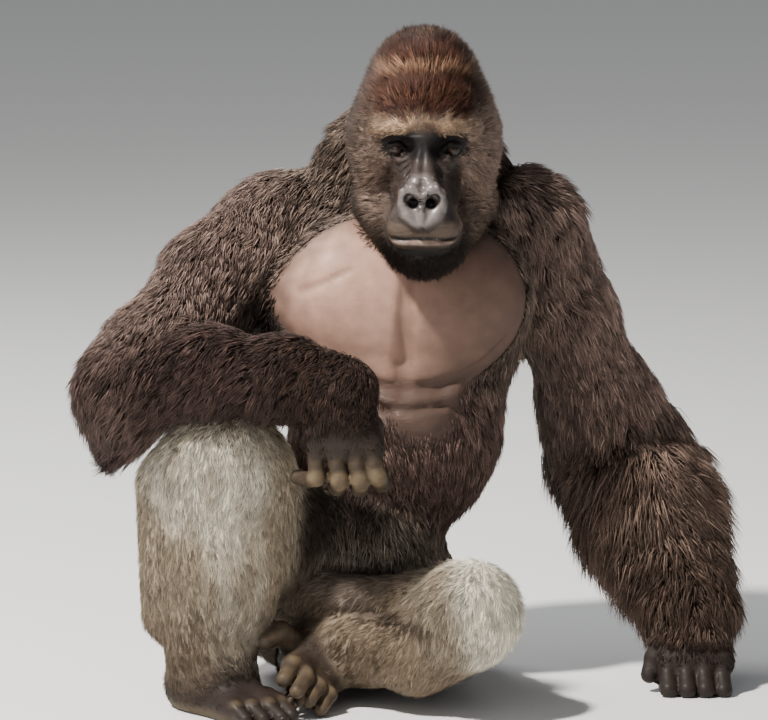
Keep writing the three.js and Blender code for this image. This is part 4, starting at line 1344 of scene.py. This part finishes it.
def nailPlate():
    # one arched plate a half width of 1 across, x across, y along to the tip, z out
    mesh = bmesh.new()
    rows, columns = nailShape["rows"], nailShape["columns"]
    sheets = []
    for lift in (0, -nailShape["thick"]):
        sheet = []
        for r in range(rows + 1):
            t = r / rows
            swell = nailShape["belly"] * math.sin(t * math.pi)
            half = nailShape["root"] + swell - nailShape["taper"] * t ** 5
            for c in range(columns + 1):
                x = (2 * c / columns - 1) * half
                y = (t - 0.5) * nailShape["length"] * (1 - nailShape["round"] * x * x * t)
                z = lift - nailShape["arch"] * x * x - nailShape["droop"] * t * t
                sheet.append(mesh.verts.new((x, y, z)))
        sheets.append(sheet)
    wide = columns + 1

    def quad(sheet, r, c):
        near, far = r * wide + c, (r + 1) * wide + c
        return [sheet[near], sheet[near + 1], sheet[far + 1], sheet[far]]
    for r in range(rows):
        for c in range(columns):
            mesh.faces.new(quad(sheets[0], r, c))
            mesh.faces.new(quad(sheets[1], r, c)[::-1])
    loop = list(range(wide)) + [r * wide + columns for r in range(1, rows + 1)]
    loop += [rows * wide + c for c in range(columns - 1, -1, -1)]
    loop += [r * wide for r in range(rows - 1, 0, -1)]
    for i, j in zip(loop, loop[1:] + loop[:1]):
        mesh.faces.new([sheets[0][j], sheets[0][i], sheets[1][i], sheets[1][j]])
    data = bpy.data.meshes.new("nail_plate")
    mesh.to_mesh(data)
    mesh.free()
    data.shade_smooth()
    plate = bpy.data.objects.new("nail_plate", data)
    bpy.context.scene.collection.objects.link(plate)
    return plate


def nailTree(plate, material):
    # puts the plate on every point, turned and sized by the point's own attributes
    tree = bpy.data.node_groups.new("nails on digits", "GeometryNodeTree")
    tree.interface.new_socket("Points", in_out="INPUT", socket_type="NodeSocketGeometry")
    tree.interface.new_socket("Size", in_out="INPUT", socket_type="NodeSocketFloat")
    tree.interface.new_socket("Nails", in_out="OUTPUT", socket_type="NodeSocketGeometry")
    given = tree.nodes.new("NodeGroupInput")
    shape = addNode(tree, "GeometryNodeObjectInfo", {"transform_space": "ORIGINAL"}, {"Object": plate},
                    "Geometry")
    turn = addNode(tree, "GeometryNodeInputNamedAttribute", {"data_type": "FLOAT_VECTOR"}, {"Name": "turn"})
    half = addNode(tree, "GeometryNodeInputNamedAttribute", {"data_type": "FLOAT"}, {"Name": "half"})
    placed = addNode(tree, "GeometryNodeInstanceOnPoints", {}, {
        "Points": Wire(tree, given.outputs["Points"]), "Instance": shape, "Rotation": turn,
        "Scale": half * Wire(tree, given.outputs["Size"])})
    whole = addNode(tree, "GeometryNodeRealizeInstances", {}, {"Geometry": placed})
    done = addNode(tree, "GeometryNodeSetMaterial", {}, {"Geometry": whole, "Material": material})
    leave = tree.nodes.new("NodeGroupOutput")
    tree.links.new(done.socket, leave.inputs["Nails"])
    return tree


def makeNails():
    material = nailMaterial()
    plate = nailPlate()
    data = bpy.data.meshes.new("nail_spots")
    data.from_pydata([tuple(toFrame(middle)) for middle, way, out, half in nails], [], [])
    turns = []
    for middle, way, out, half in nails:
        columns = np.stack([np.cross(way, out), way, out], axis=1)
        turns.extend(Matrix(columns.tolist()).to_euler())
    data.attributes.new("turn", "FLOAT_VECTOR", "POINT").data.foreach_set("vector", turns)
    data.attributes.new("half", "FLOAT", "POINT").data.foreach_set("value", [nail[3] for nail in nails])
    spots = bpy.data.objects.new("nail_spots", data)
    bpy.context.scene.collection.objects.link(spots)
    grow = spots.modifiers.new("grow", "NODES")
    grow.node_group = nailTree(plate, material)
    inputs = grow.node_group.interface.items_tree
    sizeSocket = next(item.identifier for item in inputs if item.name == "Size")
    grow[sizeSocket] = mm
    result = bpy.data.meshes.new_from_object(spots.evaluated_get(bpy.context.evaluated_depsgraph_get()))
    spots.modifiers.remove(grow)
    for extra in (spots, plate):
        bpy.data.objects.remove(extra)
    piece = bpy.data.objects.new("nails", result)
    bpy.context.scene.collection.objects.link(piece)
    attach(piece, "root")
    print("nails:", len(nails))


makeSkin()
makeCoat()
makeEye(-1)
makeEye(1)
makeNails()
print("eyes and nails made")

# floor, light and camera
stage = {"floorSize": 30, "floorTone": 0.8, "floorHeight": -0.0005, "skyTone": (0.86, 0.88, 0.9, 1),
         "skyPower": 0.32, "distance": 9.0, "elevation": 8.0, "lens": 281.25, "sensor": 36,
         "aim": (-0.0405, 0.071, 0.482)}
# size, power, place, aim and colour of each lamp
lamps = {"key": (0.45, 700, (-2.4, -2.3, 4.6), (0, 0, 0.5), (1, 0.96, 0.9)),
         "fill": (3.0, 20, (-1.5, -4.5, 1.8), (0, 0, 0.5), (0.95, 0.97, 1)),
         "rim": (2.0, 110, (-2.4, 2.6, 3.4), (0, 0, 0.6), (1, 1, 1))}


def makeFloor():
    bpy.ops.mesh.primitive_plane_add(size=stage["floorSize"], location=(0, 0, stage["floorHeight"]))
    floor = bpy.context.object
    floor.name = "floor"
    material, _, surface = startMaterial("floor", Roughness=0.9)
    surface.inputs["Base Color"].default_value = (stage["floorTone"],) * 3 + (1,)
    floor.data.materials.append(material)


def makeLight(name, size, power, place, aim, colour):
    data = bpy.data.lights.new(name, "AREA")
    data.shape, data.size, data.energy, data.color = "DISK", size, power, colour
    lamp = bpy.data.objects.new(name, data)
    lamp.location = place
    lamp.rotation_euler = (Vector(aim) - Vector(place)).to_track_quat("-Z", "Y").to_euler()
    bpy.context.scene.collection.objects.link(lamp)


def makeStage():
    makeFloor()
    for name, lamp in lamps.items():
        makeLight(name, *lamp)
    world = bpy.data.worlds.new("studio")
    bpy.context.scene.world = world
    world.use_nodes = True
    sky = world.node_tree.nodes["Background"]
    sky.inputs["Color"].default_value = stage["skyTone"]
    sky.inputs["Strength"].default_value = stage["skyPower"]
    camera = bpy.data.objects.new("camera", bpy.data.cameras.new("camera"))
    camera.data.lens, camera.data.sensor_width = stage["lens"], stage["sensor"]
    tilt = math.radians(stage["elevation"])
    aim = Vector(stage["aim"])
    camera.location = aim + stage["distance"] * Vector((0, -math.cos(tilt), math.sin(tilt)))
    camera.rotation_euler = (aim - camera.location).to_track_quat("-Z", "Y").to_euler()
    bpy.context.scene.collection.objects.link(camera)
    bpy.context.scene.camera = camera


makeStage()
